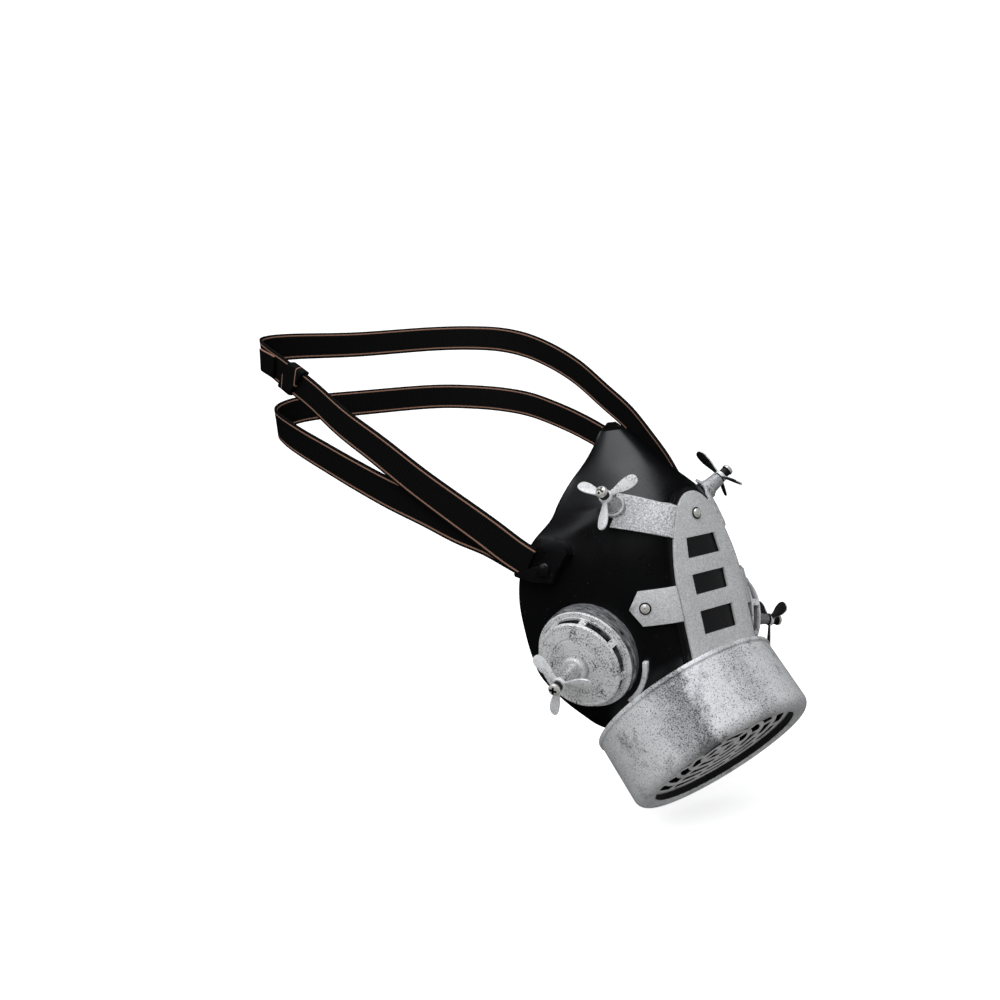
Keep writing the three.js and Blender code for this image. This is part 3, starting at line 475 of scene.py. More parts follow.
fine_leatherette = leatherette("silver_leatherette_fine", 0.4, "#a4a5a5", "#dbdbda", 0.35)
coarse_leatherette = leatherette("silver_leatherette_coarse", 0.45, "#77787a", "#f2f2f3", 0.7)
plate_low = LAND_STEP + CLEAR
plate_outlines = [arch_outline(0), *[window_outline(n) for n in range(len(WINDOW_HEIGHTS))]]
plate = cut_sheet(plate_outlines, plate_low, plate_low + PLATE_THICK, CUT_EDGE)
bmesh.ops.transform(plate, matrix=front, verts=plate.verts)
trimmed_at_canister(plate)
placed("ladder_sheet", plate, Matrix(), fine_leatherette, ["ladder_plate"])


def worked_copy(node_name, edge, facet=4, crease=40):
    """A merged copy of a CAD piece in millimetres, its flat faces joined and edges rounded."""
    bm = bmesh.new()
    bm.from_mesh(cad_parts[node_name].data)
    bmesh.ops.transform(bm, matrix=METRES.inverted(), verts=bm.verts)
    bmesh.ops.remove_doubles(bm, verts=bm.verts, dist=0.005)
    bmesh.ops.dissolve_limit(bm, angle_limit=math.radians(facet), verts=bm.verts, edges=bm.edges)
    limit = math.radians(crease)
    sharp = [e for e in bm.edges if e.is_manifold and e.calc_face_angle() > limit]
    bmesh.ops.bevel(
        bm,
        geom=sharp,
        offset=edge,
        segments=2,
        profile=0.5,
        affect="EDGES",
        material=-1,
        clamp_overlap=True,
    )
    return bm


for side in ("left", "right"):
    for strip, stuff in (("arm", coarse_leatherette), ("tab", fine_leatherette)):
        node_name = f"{strip}_{side}"
        worked = worked_copy(node_name, CUT_EDGE, facet=1)
        placed(f"{strip}_sheet_{side}", worked, Matrix(), stuff, [node_name])

# The rivets are nickel-plated domes with a pressed dimple. They hold the plate and the tabs,
# and a dark ring of shadow and dirt lies round each foot.
RIVET_RADIUS = 2.3
RIVET_HEIGHT = 1.4
TOP_RIVET_UP = 25.5
TAB_RIVET_OUT = 27
TAB_MIDDLE = -5.95
RIVET_FLANGE = 0.5
NICKEL_FOOT_SHADE_AND_DIRT = 0.18
LATHE_STEPS = 48


def turned(profile, steps=LATHE_STEPS):
    """A closed body turned about Z from a profile of radius and height."""
    bm = bmesh.new()
    verts = [bm.verts.new((radius, 0, height)) for radius, height in profile]
    edges = [bm.edges.new(pair) for pair in zip(verts, verts[1:])]
    bmesh.ops.spin(
        bm,
        geom=verts + edges,
        axis=(0, 0, 1),
        cent=(0, 0, 0),
        angle=2 * math.pi,
        steps=steps,
        use_merge=True,
    )
    bmesh.ops.remove_doubles(bm, verts=bm.verts, dist=0.001)
    bmesh.ops.recalc_face_normals(bm, faces=bm.faces)
    return bm


def aimed(origin, axis):
    """A frame at origin whose Z runs along axis."""
    turn = Vector((0, 0, 1)).rotation_difference(axis)
    return Matrix.Translation(origin) @ turn.to_matrix().to_4x4()


def mirrored(place):
    """The same frame on the other side of the mask, for a body turned about its axis."""
    swap = Vector((-1, 1, 1))
    axis = place.to_3x3() @ Vector((0, 0, 1))
    return aimed(place.translation * swap, axis * swap)


def plated_nickel():
    """Nickel plate on steel: bright, a little yellow, clouded by finger marks, and near black
    at the foot of each piece: painted shadow and dirt round each dome's foot and under each screw's head."""
    material, tree = new_material("plated_nickel")
    place = add(tree, "ShaderNodeAttribute", attribute_name="own").outputs["Vector"]
    parts = add(tree, "ShaderNodeSeparateXYZ", {0: place})
    # Painted shadow and dirt: below the foot height each piece turns near black, round each dome's foot and
    # on each screw's underside.
    clear_of_foot_shade = add(
        tree,
        "ShaderNodeMapRange",
        {"Value": parts.outputs[2], "From Min": NICKEL_FOOT_SHADE_AND_DIRT, "From Max": 2 * NICKEL_FOOT_SHADE_AND_DIRT},
    )
    tone = add(
        tree,
        "ShaderNodeMix",
        {0: clear_of_foot_shade.outputs[0], 6: colour("#181817"), 7: colour("#e4e2dc")},
        data_type="RGBA",
    )
    cloud = add(tree, "ShaderNodeTexNoise", {"Vector": place, "Scale": 1 / 1.2, "Detail": 4})
    rough = add(
        tree,
        "ShaderNodeMapRange",
        {"Value": cloud.outputs[0], "From Min": 0.3, "From Max": 0.7, "To Min": 0.16, "To Max": 0.4},
    )
    bump = add(
        tree,
        "ShaderNodeBump",
        {"Height": cloud.outputs[0], "Strength": 0.12, "Distance": 0.0001},
    )
    surfaced(
        tree,
        {
            "Base Color": tone.outputs[2],
            "Metallic": 0.55,
            "Roughness": rough.outputs[0],
            "Normal": bump.outputs[0],
        },
    )
    return material


nickel = plated_nickel()


def rivet_body():
    arc = [math.radians(a) for a in range(0, 73, 8)]
    low, head = 0.16, RIVET_RADIUS - RIVET_FLANGE
    dome = [(head * math.cos(a), low + (RIVET_HEIGHT - low) * math.sin(a)) for a in arc]
    flange = [(0, 0), (RIVET_RADIUS, 0), (RIVET_RADIUS, 0.1), (head + 0.1, low)]
    dimple = [(0.4, RIVET_HEIGHT - 0.1), (0.24, RIVET_HEIGHT - 0.45), (0, RIVET_HEIGHT - 0.5)]
    return turned([*flange, *dome, *dimple])


STRIP_THICK = 1.1
tab_up = TAB_MIDDLE / CHIN_DROP
tab_round = around_where(0, TAB_RIVET_OUT, tab_up)
tab_normal = skin_normal(tab_round, tab_up)
tab_seat = aimed(skin(tab_round, tab_up) + tab_normal * (2 * CLEAR + STRIP_THICK), tab_normal)
top_seat = front @ Matrix.Translation((0, TOP_RIVET_UP, plate_low + PLATE_THICK + CLEAR))
for name, seat in (("top", top_seat), ("left", tab_seat), ("right", mirrored(tab_seat))):
    placed(f"domed_rivet_{name}", rivet_body(), seat, nickel, [f"rivet_{name}"])

# The pedestals are short turned cones on the arms' ends, black plastic dry-brushed with silver,
# thinly on the cone and fully on the rim of its foot. Each holds a propeller's screw.
PEDESTAL_OUT = 24.5
PEDESTAL_UP = 31.8
PEDESTAL_YAW = 66
PEDESTAL_PITCH = 33
PEDESTAL_HEIGHT = 7
PEDESTAL_FOOT_RADIUS = 4.2
PEDESTAL_TOP_RADIUS = 2.8
PEDESTAL_ROOT = 1.6
PEDESTAL_RIM_TOP = 0.95
PEDESTAL_RIM_SHARE = 0.84
SHANK_RADIUS = 0.8
BORE_RADIUS = SHANK_RADIUS + CLEAR


def direction(yaw, pitch):
    turn, lift = math.radians(yaw), math.radians(pitch)
    level = math.cos(lift)
    return Vector((level * math.sin(turn), -level * math.cos(turn), math.sin(lift)))


def dry_brushed(name, light, dim_tone, pit, speck_mm, speck_from, extra=None):
    """Black plastic dry-brushed with silver paint: the brush misses the pits, so fine dark
    specks show, and the paint is thin and smudged in patches."""
    material, tree = new_material(name)
    place = add(tree, "ShaderNodeAttribute", attribute_name="own").outputs["Vector"]
    grain = add(
        tree,
        "ShaderNodeTexNoise",
        {"Vector": place, "Scale": 1 / speck_mm, "Detail": 3, "Roughness": 0.65},
    )
    clouds = add(
        tree, "ShaderNodeTexNoise", {"Vector": place, "Scale": 1 / 7, "Detail": 4, "Roughness": 0.6}
    )
    thin = add(
        tree,
        "ShaderNodeMapRange",
        {"Value": clouds.outputs[0], "From Min": 0.53, "From Max": 0.82},
    ).outputs[0]
    # An extra hook may add darker bands, which darken the tone as the thin paint does, and bright strokes.
    if extra:
        dark_band_mask, streaks = extra(tree, place)
        thin = add(tree, "ShaderNodeMath", {0: thin, 1: dark_band_mask}, operation="MAXIMUM").outputs[0]
    mottle = add(
        tree,
        "ShaderNodeMapRange",
        {"Value": grain.outputs[0], "From Min": 0.4, "From Max": 0.6, "To Min": 0, "To Max": 0.3},
    )
    dull = add(
        tree,
        "ShaderNodeMath",
        {0: thin, 1: 0.75, 2: mottle.outputs[0]},
        operation="MULTIPLY_ADD",
        use_clamp=True,
    )
    tone = add(
        tree,
        "ShaderNodeMix",
        {0: dull.outputs[0], 6: colour(light), 7: colour(dim_tone)},
        data_type="RGBA",
    ).outputs[2]
    if extra:
        tone = add(
            tree, "ShaderNodeMix", {0: streaks, 6: tone, 7: colour("#e8e8e9")}, data_type="RGBA"
        ).outputs[2]
    missed = add(
        tree,
        "ShaderNodeMath",
        {0: thin, 1: 0.09, 2: grain.outputs[0]},
        operation="MULTIPLY_ADD",
    )
    specks = add(
        tree,
        "ShaderNodeMapRange",
        {"Value": missed.outputs[0], "From Min": speck_from, "From Max": speck_from + 0.05},
    )
    covered = add(
        tree,
        "ShaderNodeMix",
        {0: specks.outputs[0], 6: tone, 7: colour(pit)},
        data_type="RGBA",
    )
    bump = add(
        tree,
        "ShaderNodeBump",
        {"Height": specks.outputs[0], "Strength": 0.35, "Distance": 0.0001},
    )
    bump.invert = True
    surfaced(
        tree,
        {
            "Base Color": covered.outputs[2],
            "Metallic": 0.2,
            "Roughness": 0.4,
            "Normal": bump.outputs[0],
        },
    )
    return material


brushed_small = dry_brushed("dry_brushed_silver_small", "#e4e4e4", "#a2a3a4", "#3a3a3b", 0.5, 0.62)
brushed_thin = dry_brushed("dry_brushed_silver_thin", "#aeafb0", "#77787a", "#2c2c2d", 0.6, 0.58)
pedestal_axis = direction(PEDESTAL_YAW, PEDESTAL_PITCH)
pedestal_up = PEDESTAL_UP / NOSE_RISE
pedestal_round = around_where(0, PEDESTAL_OUT, pedestal_up)
pedestal_seat = skin(pedestal_round, pedestal_up)
pedestal_seat += skin_normal(pedestal_round, pedestal_up) * (2 * CLEAR + STRIP_THICK)
pedestal_place = aimed(pedestal_seat, pedestal_axis)


def pedestal_body():
    foot, top, high = PEDESTAL_FOOT_RADIUS, PEDESTAL_TOP_RADIUS, PEDESTAL_HEIGHT
    steps = [(0, -PEDESTAL_ROOT), (foot, -PEDESTAL_ROOT), (foot, 0.5), (foot - 0.25, 0.75)]
    shaft = [(0.86 * foot, 0.9), (0.86 * foot, 1.5), (0.78 * foot, 1.75), (top, high - 0.25)]
    end = [(top - 0.25, high), (BORE_RADIUS, high), (BORE_RADIUS, high - 3), (0, high - 3)]
    return turned([*steps, *shaft, *end])


for side, place in (("left", pedestal_place), ("right", mirrored(pedestal_place))):
    node_name = f"pedestal_{side}"
    cone = pedestal_body()
    cone.faces.index_update()
    middles = [(face.index, face.calc_center_median()) for face in cone.faces]
    out = PEDESTAL_RIM_SHARE * PEDESTAL_FOOT_RADIUS
    rim_faces = [i for i, m in middles if 0 < m.z < PEDESTAL_RIM_TOP and m.xy.length > out]
    piece = placed(f"turned_pedestal_{side}", cone, place, brushed_thin, [node_name])
    partly(piece, brushed_small, rim_faces)

# The side valves are moulded drums: a silver ring, a slotted side wall and a raised disc with
# a conical boss, black plastic brushed with silver so that the wall and the slots stay dark.
VALVE_SEAT_BACK = -14.3
VALVE_SEAT_UP = -22.4
VALVE_YAW = 71.4
VALVE_PITCH = -13.3
VALVE_RADIUS = 19.7
VALVE_STAND = 5.6
VALVE_ROOT = 8.6
VALVE_LIP = 0.5
DISC_RADIUS = 17
DISC_RISE = 5
RING_INNER = 17.9
SLOT_COUNT = 8
SLOT_RIB = 2.4
SLOT_LOW = 0.7
SLOT_HIGH = 3.9
WALL_THICK = 0.9
VALVE_STEPS = 160
BOSS_FOOT_RADIUS = 4.3
BOSS_TIP_RADIUS = 2.2
BOSS_TIP = 18.6
BOSS_STEP = DISC_RISE + 4.2

valve_axis = direction(VALVE_YAW, VALVE_PITCH)
valve_up = VALVE_SEAT_UP / CHIN_DROP
valve_seat = skin(around_where(1, VALVE_SEAT_BACK, valve_up), valve_up)
valve_place = aimed(valve_seat + valve_axis * VALVE_STAND, valve_axis)


def valve_ring():
    """The base and its ring, open inside, so that the slots look into a dark chamber."""
    ring = VALVE_RADIUS
    outside = [
        (ring - 6, -VALVE_ROOT),
        (ring + VALVE_LIP, -VALVE_ROOT),
        (ring + VALVE_LIP, -0.62 * VALVE_STAND),
        (ring + VALVE_LIP - 0.2, -0.58 * VALVE_STAND),
        (ring - 0.25, -0.52 * VALVE_STAND),
        (ring - 0.25, -1.1),
        (ring, -0.9),
        (ring, -0.35),
        (ring - 0.3, 0),
        (RING_INNER + 0.2, 0),
        (RING_INNER, -0.2),
        (RING_INNER, -1.4),
        (ring - 6, -1.4),
        (ring - 6, -VALVE_ROOT),
    ]
    return turned(outside, VALVE_STEPS)


def valve_cap():
    """The raised disc and its slotted side wall, with eight ribs left between the slots."""
    low, high = RING_INNER + 0.05, DISC_RADIUS
    wall_slope = (low - high) / DISC_RISE
    rows = [0.6 - 2, SLOT_LOW, SLOT_HIGH, DISC_RISE - 0.5]
    side_wall = [(high + wall_slope * (DISC_RISE - h), h) for h in rows]
    cap = [
        (high - 0.35, DISC_RISE),
        (high - 1.2, DISC_RISE + 0.05),
        (high - 1.5, DISC_RISE - 0.12),
        (high - 1.9, DISC_RISE + 0.02),
        (0.66 * high, DISC_RISE + 0.28),
        (0.64 * high, DISC_RISE + 0.12),
        (0.62 * high, DISC_RISE + 0.34),
        (0.38 * high, DISC_RISE + 0.58),
        (BOSS_FOOT_RADIUS + 1.5, DISC_RISE + 0.66),
        (BOSS_FOOT_RADIUS + 1.2, DISC_RISE + 0.5),
        (BOSS_FOOT_RADIUS + 0.9, DISC_RISE + 0.7),
        (BOSS_FOOT_RADIUS, DISC_RISE + 0.8),
    ]
    bm = turned([*side_wall, *cap], VALVE_STEPS)
    half = math.pi / SLOT_COUNT - SLOT_RIB / 2 / DISC_RADIUS
    cut = []
    for face in bm.faces:
        middle = face.calc_center_median()
        pitch = 2 * math.pi / SLOT_COUNT
        off = abs((math.atan2(middle.y, middle.x) % pitch) - pitch / 2)
        if SLOT_LOW < middle.z < SLOT_HIGH and off < half and middle.xy.length > high - 1:
            cut.append(face)
    bmesh.ops.delete(bm, geom=cut, context="FACES")
    bmesh.ops.recalc_face_normals(bm, faces=bm.faces)
    if sum(face.normal.z for face in bm.faces) < 0:
        bmesh.ops.reverse_faces(bm, faces=bm.faces)
    bmesh.ops.solidify(bm, geom=bm.faces[:], thickness=WALL_THICK)
    return bm


def valve_boss():
    foot, tip = BOSS_FOOT_RADIUS, BOSS_TIP_RADIUS
    base = DISC_RISE + 0.3
    wide = 1.22 * foot
    cone = [(0, base), (wide, base), (wide, base + 0.5), (1.08 * foot, base + 3.4)]
    shaft = [(1.02 * foot, base + 3.8), (0.76 * foot, base + 4), (tip, BOSS_TIP - 1.2)]
    end = [(tip, BOSS_TIP - 0.2), (tip - 0.2, BOSS_TIP), (BORE_RADIUS, BOSS_TIP)]
    return turned([*cone, *shaft, *end, (BORE_RADIUS, BOSS_TIP - 3), (0, BOSS_TIP - 3)])


def valve_paint():
    """The valve's silver paint: pitted and ringed on the disc, and left thin on the side wall,
    where the black plastic shows through as graphite. The lower boss is darkened as painted shade."""
    material, tree = new_material("dry_brushed_silver_valve")
    place = add(tree, "ShaderNodeAttribute", attribute_name="own").outputs["Vector"]
    parts = add(tree, "ShaderNodeSeparateXYZ", {0: place})
    flat = add(tree, "ShaderNodeVectorMath", {0: place, 1: (1, 1, 0)}, operation="MULTIPLY")
    radius = add(tree, "ShaderNodeVectorMath", {0: flat.outputs[0]}, operation="LENGTH")
    wobble = add(tree, "ShaderNodeTexNoise", {"Vector": place, "Scale": 0.16, "Detail": 2})
    bent = add(
        tree,
        "ShaderNodeMath",
        {0: wobble.outputs[0], 1: 1.2, 2: radius.outputs["Value"]},
        operation="MULTIPLY_ADD",
    )
    ring_place = add(tree, "ShaderNodeCombineXYZ", {0: bent.outputs[0]})
    rings = add(
        tree,
        "ShaderNodeTexNoise",
        {"Vector": ring_place.outputs[0], "Scale": 0.9, "Detail": 3, "Roughness": 0.7},
    )
    pits = add(
        tree,
        "ShaderNodeTexNoise",
        {"Vector": place, "Scale": 1 / 0.6, "Detail": 4, "Roughness": 0.7},
    )
    patches = add(tree, "ShaderNodeTexNoise", {"Vector": place, "Scale": 1 / 6, "Detail": 3})
    worn = add(
        tree,
        "ShaderNodeMath",
        {0: patches.outputs[0], 1: 0.35, 2: pits.outputs[0]},
        operation="MULTIPLY_ADD",
    )
    specks = add(
        tree, "ShaderNodeMapRange", {"Value": worn.outputs[0], "From Min": 0.7, "From Max": 0.82}
    )
    level = add(
        tree, "ShaderNodeMapRange", {"Value": rings.outputs[0], "From Min": 0.25, "From Max": 0.5}
    )
    tone = add(
        tree,
        "ShaderNodeMix",
        {0: level.outputs[0], 6: colour("#bfc0c1"), 7: colour("#eaeaea")},
        data_type="RGBA",
    )
    # Painted shade: the boss is darkened at its foot on the disc, fading out up to its step.
    foot = add(
        tree,
        "ShaderNodeMapRange",
        {"Value": parts.outputs[2], "From Min": BOSS_STEP, "From Max": DISC_RISE + 0.9},
    )
    on_foot = add(
        tree,
        "ShaderNodeMath",
        {0: parts.outputs[2], 1: DISC_RISE + 0.9},
        operation="GREATER_THAN",
    )
    boss_foot_shade_mask = add(
        tree, "ShaderNodeMath", {0: foot.outputs[0], 1: on_foot.outputs[0]}, operation="MULTIPLY"
    )
    boss_foot_shade_weight = add(tree, "ShaderNodeMath", {0: boss_foot_shade_mask.outputs[0], 1: 0.7}, operation="MULTIPLY")
    shaded = add(
        tree,
        "ShaderNodeMix",
        {0: boss_foot_shade_weight.outputs[0], 6: tone.outputs[2], 7: colour("#6d6e70")},
        data_type="RGBA",
    )
    shine = add(
        tree,
        "ShaderNodeMapRange",
        {"Value": parts.outputs[2], "From Min": BOSS_STEP, "From Max": BOSS_STEP + 0.2},
    )
    metallic = add(
        tree, "ShaderNodeMapRange", {"Value": shine.outputs[0], "To Min": 0.3, "To Max": 0.8}
    )
    rough = add(
        tree, "ShaderNodeMapRange", {"Value": shine.outputs[0], "To Min": 0.42, "To Max": 0.27}
    )
    pitted = add(
        tree,
        "ShaderNodeMix",
        {0: specks.outputs[0], 6: shaded.outputs[2], 7: colour("#3f4040")},
        data_type="RGBA",
    )
    below = add(
        tree,
        "ShaderNodeMapRange",
        {"Value": parts.outputs[2], "From Min": -0.75, "From Max": -1.25},
    )
    brush_place = add(tree, "ShaderNodeMapping", {"Vector": place, "Scale": (0.25, 0.25, 1.8)})
    brush = add(
        tree,
        "ShaderNodeTexNoise",
        {"Vector": brush_place.outputs[0], "Scale": 1, "Detail": 4, "Roughness": 0.7},
    )
    strokes = add(
        tree,
        "ShaderNodeMapRange",
        {"Value": brush.outputs[0], "From Min": 0.36, "From Max": 0.68},
    )
    graphite = add(
        tree,
        "ShaderNodeMix",
        {0: strokes.outputs[0], 6: colour("#0f0f10"), 7: colour("#a2a3a5")},
        data_type="RGBA",
    )
    painted = add(
        tree,
        "ShaderNodeMix",
        {0: below.outputs[0], 6: pitted.outputs[2], 7: graphite.outputs[2]},
        data_type="RGBA",
    )
    height = add(
        tree,
        "ShaderNodeMath",
        {0: specks.outputs[0], 1: -0.8, 2: rings.outputs[0]},
        operation="MULTIPLY_ADD",
    )
    bump = add(
        tree,
        "ShaderNodeBump",
        {"Height": height.outputs[0], "Strength": 0.3, "Distance": 0.00015},
    )
    surfaced(
        tree,
        {
            "Base Color": painted.outputs[2],
            "Metallic": metallic.outputs[0],
            "Roughness": rough.outputs[0],
            "Normal": bump.outputs[0],
        },
    )
    return material


def joined(*parts):
    """One bmesh of several, which are used up."""
    whole = bmesh.new()
    for part in parts:
        mesh = bpy.data.meshes.new("part")
        part.to_mesh(mesh)
        part.free()
        whole.from_mesh(mesh)
        bpy.data.meshes.remove(mesh)
    return whole


valve_silver = valve_paint()
for side, place in (("left", valve_place), ("right", mirrored(valve_place))):
    body = joined(valve_ring(), valve_cap(), valve_boss())
    placed(f"valve_drum_{side}", body, place, valve_silver, [f"valve_{side}"], crease=28)
    node_name = f"valve_lug_{side}"
    lug = worked_copy(node_name, 0.35)
    placed(f"valve_rib_{side}", lug, Matrix(), brushed_small, [node_name])

# The propellers are stamped blades on a hub, painted silver, loose on a screw with a black
# collar under its head. They turn freely.
BLADE_REACH = 13.7
BLADE_HALF_WIDTH = 2.4
BLADE_THICK = 0.8
BLADE_COUNT = 3
BLADE_PITCH = 22
BLADE_ROUNDING = 0.25
HUB_RADIUS = 2.6
HUB_HEIGHT = 1.7
COLLAR_RADIUS = 2
COLLAR_HEIGHT = 1.9
SCREW_HEAD_RADIUS = 2.3
SCREW_HEAD_HEIGHT = 1.9
SHANK_GRIP = 2.6
PHASES = {
    "upper_left": 22,
    "upper_right": 84,
    "lower_left": 98,
    "lower_right": 51,
}


def blade_outline():
    """A leaf-shaped blade along X, from inside the hub to its tip."""
    reach, half = BLADE_REACH, BLADE_HALF_WIDTH
    root, neck = 0.5 * HUB_RADIUS, 0.42 * BLADE_HALF_WIDTH
    lower = interpolate_bezier(
        Vector((root, -neck)),
        Vector((0.4 * reach, -neck)),
        Vector((0.45 * reach, -half)),
        Vector((0.74 * reach, -half)),
        14,
    )
    tip = interpolate_bezier(
        Vector((0.74 * reach, -half)),
        Vector((0.95 * reach, -half)),
        Vector((reach, -0.5 * half)),
        Vector((reach, 0)),
        12,
    )
    side = [*lower, *tip[1:]]
    return [*side, *[Vector((p.x, -p.y)) for p in reversed(side[:-1])]]


def propeller_body(phase):
    hub = turned(
        [
            (BORE_RADIUS, 0),
            (HUB_RADIUS - 0.2, 0),
            (HUB_RADIUS, 0.2),
            (HUB_RADIUS, HUB_HEIGHT - 0.2),
            (HUB_RADIUS - 0.2, HUB_HEIGHT),
            (BORE_RADIUS, HUB_HEIGHT),
            (BORE_RADIUS, 0),
        ]
    )
    blades = []
    for number in range(BLADE_COUNT):
        blade = cut_sheet([blade_outline()], -BLADE_THICK / 2, BLADE_THICK / 2, BLADE_ROUNDING)
        turn = math.radians(phase + number * 360 / BLADE_COUNT)
        place = (
            Matrix.Rotation(turn, 4, "Z")
            @ Matrix.Translation((0, 0, HUB_HEIGHT / 2))
            @ Matrix.Rotation(math.radians(BLADE_PITCH), 4, "X")
        )
        bmesh.ops.transform(blade, matrix=place, verts=blade.verts)
        blades.append(blade)
    return joined(hub, *blades)


def collar_body():
    ring = [
        (BORE_RADIUS, 0),
        (COLLAR_RADIUS, 0),
        (COLLAR_RADIUS, COLLAR_HEIGHT),
        (BORE_RADIUS, COLLAR_HEIGHT),
        (BORE_RADIUS, 0),
    ]
    return turned(ring, 32)


def screw_body(reach):
    """A pan head on a plain shank, its origin under the head; the cross recess is cut afterwards."""
    head, high = SCREW_HEAD_RADIUS, SCREW_HEAD_HEIGHT
    profile = [(0, -reach), (SHANK_RADIUS, -reach), (SHANK_RADIUS, 0), (head - 0.1, 0)]
    profile += [(head, 0.12), (head, 0.5 * high), (0.93 * head, 0.72 * high)]
    profile += [(0.72 * head, 0.9 * high), (0.4 * head, 0.99 * high), (0, high)]
    return turned(profile, 40)


def black_nylon():
    """Black nylon, turned and left matt, as the collars and the drum's inside look."""
    material, tree = new_material("matt_black_nylon")
    place = add(tree, "ShaderNodeTexCoord").outputs["Object"]
    grain = add(tree, "ShaderNodeTexNoise", {"Vector": place, "Scale": 1 / 0.0005, "Detail": 3})
    tone = add(
        tree,
        "ShaderNodeMix",
        {0: grain.outputs[0], 6: colour("#080808"), 7: colour("#1c1c1d")},
        data_type="RGBA",
    )
    bump = add(
        tree,
        "ShaderNodeBump",
        {"Height": grain.outputs[0], "Strength": 0.2, "Distance": 0.0001},
    )
    surfaced(
        tree,
        {
            "Base Color": tone.outputs[2],
            "Roughness": 0.55,
            "Normal": bump.outputs[0],
        },
    )
    return material


def cross_recessed(piece, place):
    """Cuts a cross recess into a screw's head."""
    long, wide = 1.3 * SCREW_HEAD_RADIUS, 0.4 * SCREW_HEAD_RADIUS
    bars = []
    for size in ((long, wide), (wide, long)):
        bar = bmesh.new()
        bmesh.ops.create_cube(bar, size=1)
        bmesh.ops.scale(bar, vec=(*size, SCREW_HEAD_HEIGHT), verts=bar.verts)
        bars.append(bar)
    cutter = joined(*bars)
    bmesh.ops.translate(cutter, verts=cutter.verts, vec=(0, 0, SCREW_HEAD_HEIGHT))
    bmesh.ops.transform(cutter, matrix=METRES @ place, verts=cutter.verts)
    mesh = bpy.data.meshes.new("recess")
    cutter.to_mesh(mesh)
    cutter.free()
    tool = bpy.data.objects.new("recess", mesh)
    bpy.context.scene.collection.objects.link(tool)
    cut = piece.modifiers.new("recess", "BOOLEAN")
    cut.object = tool
    cut.solver = "EXACT"
    cut.use_self = True
    bpy.context.view_layer.update()
    worked = piece.evaluated_get(bpy.context.evaluated_depsgraph_get())
    carved = bpy.data.meshes.new_from_object(worked)
    piece.modifiers.clear()
    piece.data = carved
    bpy.data.objects.remove(tool)


nylon = black_nylon()
for level, tip_place, tip in (("upper", pedestal_place, PEDESTAL_HEIGHT), ("lower", valve_place, BOSS_TIP)):
    for side in ("left", "right"):
        name = f"{level}_{side}"
        base = tip_place if side == "left" else mirrored(tip_place)
        hub_at = base @ Matrix.Translation((0, 0, tip + CLEAR))
        collar_at = base @ Matrix.Translation((0, 0, tip + 2 * CLEAR + HUB_HEIGHT))
        head_height = 3 * CLEAR + HUB_HEIGHT + COLLAR_HEIGHT
        head_at = base @ Matrix.Translation((0, 0, tip + head_height))
        node_name = f"propeller_{name}"
        body = propeller_body(PHASES[name])
        body.normal_update()
        body.faces.index_update()
        # The blades' back faces are black nylon: taken as left unpainted, and dark also as painted shade,
        # standing in for the shade the blades' backs lie in.
        unpainted_shaded_backs = [face.index for face in body.faces if face.normal.z < -0.3]
        blades = placed(
            f"blades_{name}", body, hub_at, brushed_small, [node_name], node_name
        )
        partly(blades, nylon, unpainted_shaded_backs)
        placed(f"sleeve_{name}", collar_body(), collar_at, nylon, [f"collar_{name}"])
        screw = placed(
            f"pan_screw_{name}",
            screw_body(head_height + SHANK_GRIP),
            head_at,
            nickel,
            [f"screw_{name}"],
        )
        cross_recessed(screw, head_at)

# The canister is a moulded drum, its outside dry-brushed with silver by hand round its length
# and its mouth left black, with a silver grille of staggered arc slots set into it.
CANISTER_RADIUS = 39.3
CANISTER_LENGTH = 29.6
CANISTER_WALL = 2.2
CANISTER_LIP = 1.6
CANISTER_EDGE = 4
MOUTH_RADIUS = 31.2
GRILLE_SUNK = 3.2
GRILLE_THICK = 1.4
GRILLE_HUB_RADIUS = 3.2
GRILLE_RINGS = 5
GRILLE_BAR = 2.1
GRILLE_SLOTS_INNER = 4
GRILLE_ROUNDING = 0.3
DRUM_STEPS = 192


def drum_body():
    radius, long, edge = CANISTER_RADIUS, CANISTER_LENGTH, CANISTER_EDGE
    rear = [(0, 0), (radius - 0.6, 0), (radius - 0.15, 0.2), (radius, 0.6), (radius, CANISTER_LIP)]
    groove = [(radius - 0.25, CANISTER_LIP + 0.25), (radius - 0.75, CANISTER_LIP + 0.4)]
    groove += [(radius - 0.75, CANISTER_LIP + 0.75), (radius - 0.5, CANISTER_LIP + 1)]
    arc = [math.radians(a) for a in range(0, 91, 15)]
    corner = (radius - 0.7 - edge, long - edge)
    bend = [(corner[0] + edge * math.cos(a), corner[1] + edge * math.sin(a)) for a in arc]
    mouth = [(MOUTH_RADIUS + 0.9, long), (MOUTH_RADIUS + 0.25, long - 0.25), (MOUTH_RADIUS, long - 0.9)]
    shelf = long - GRILLE_SUNK
    inside = radius - CANISTER_WALL
    well = [(MOUTH_RADIUS, shelf), (MOUTH_RADIUS + 2, shelf), (MOUTH_RADIUS + 2, long - CANISTER_WALL)]
    back = [(inside, long - CANISTER_WALL - 2), (inside, CANISTER_WALL), (0, CANISTER_WALL)]
    return turned([*rear, *groove, *bend, *mouth, *well, *back], DRUM_STEPS)


def arc_points(radius, start, end, count):
    """Points along an arc."""
    turns = [start + (end - start) * i / count for i in range(count + 1)]
    return [(radius * math.cos(a), radius * math.sin(a)) for a in turns]


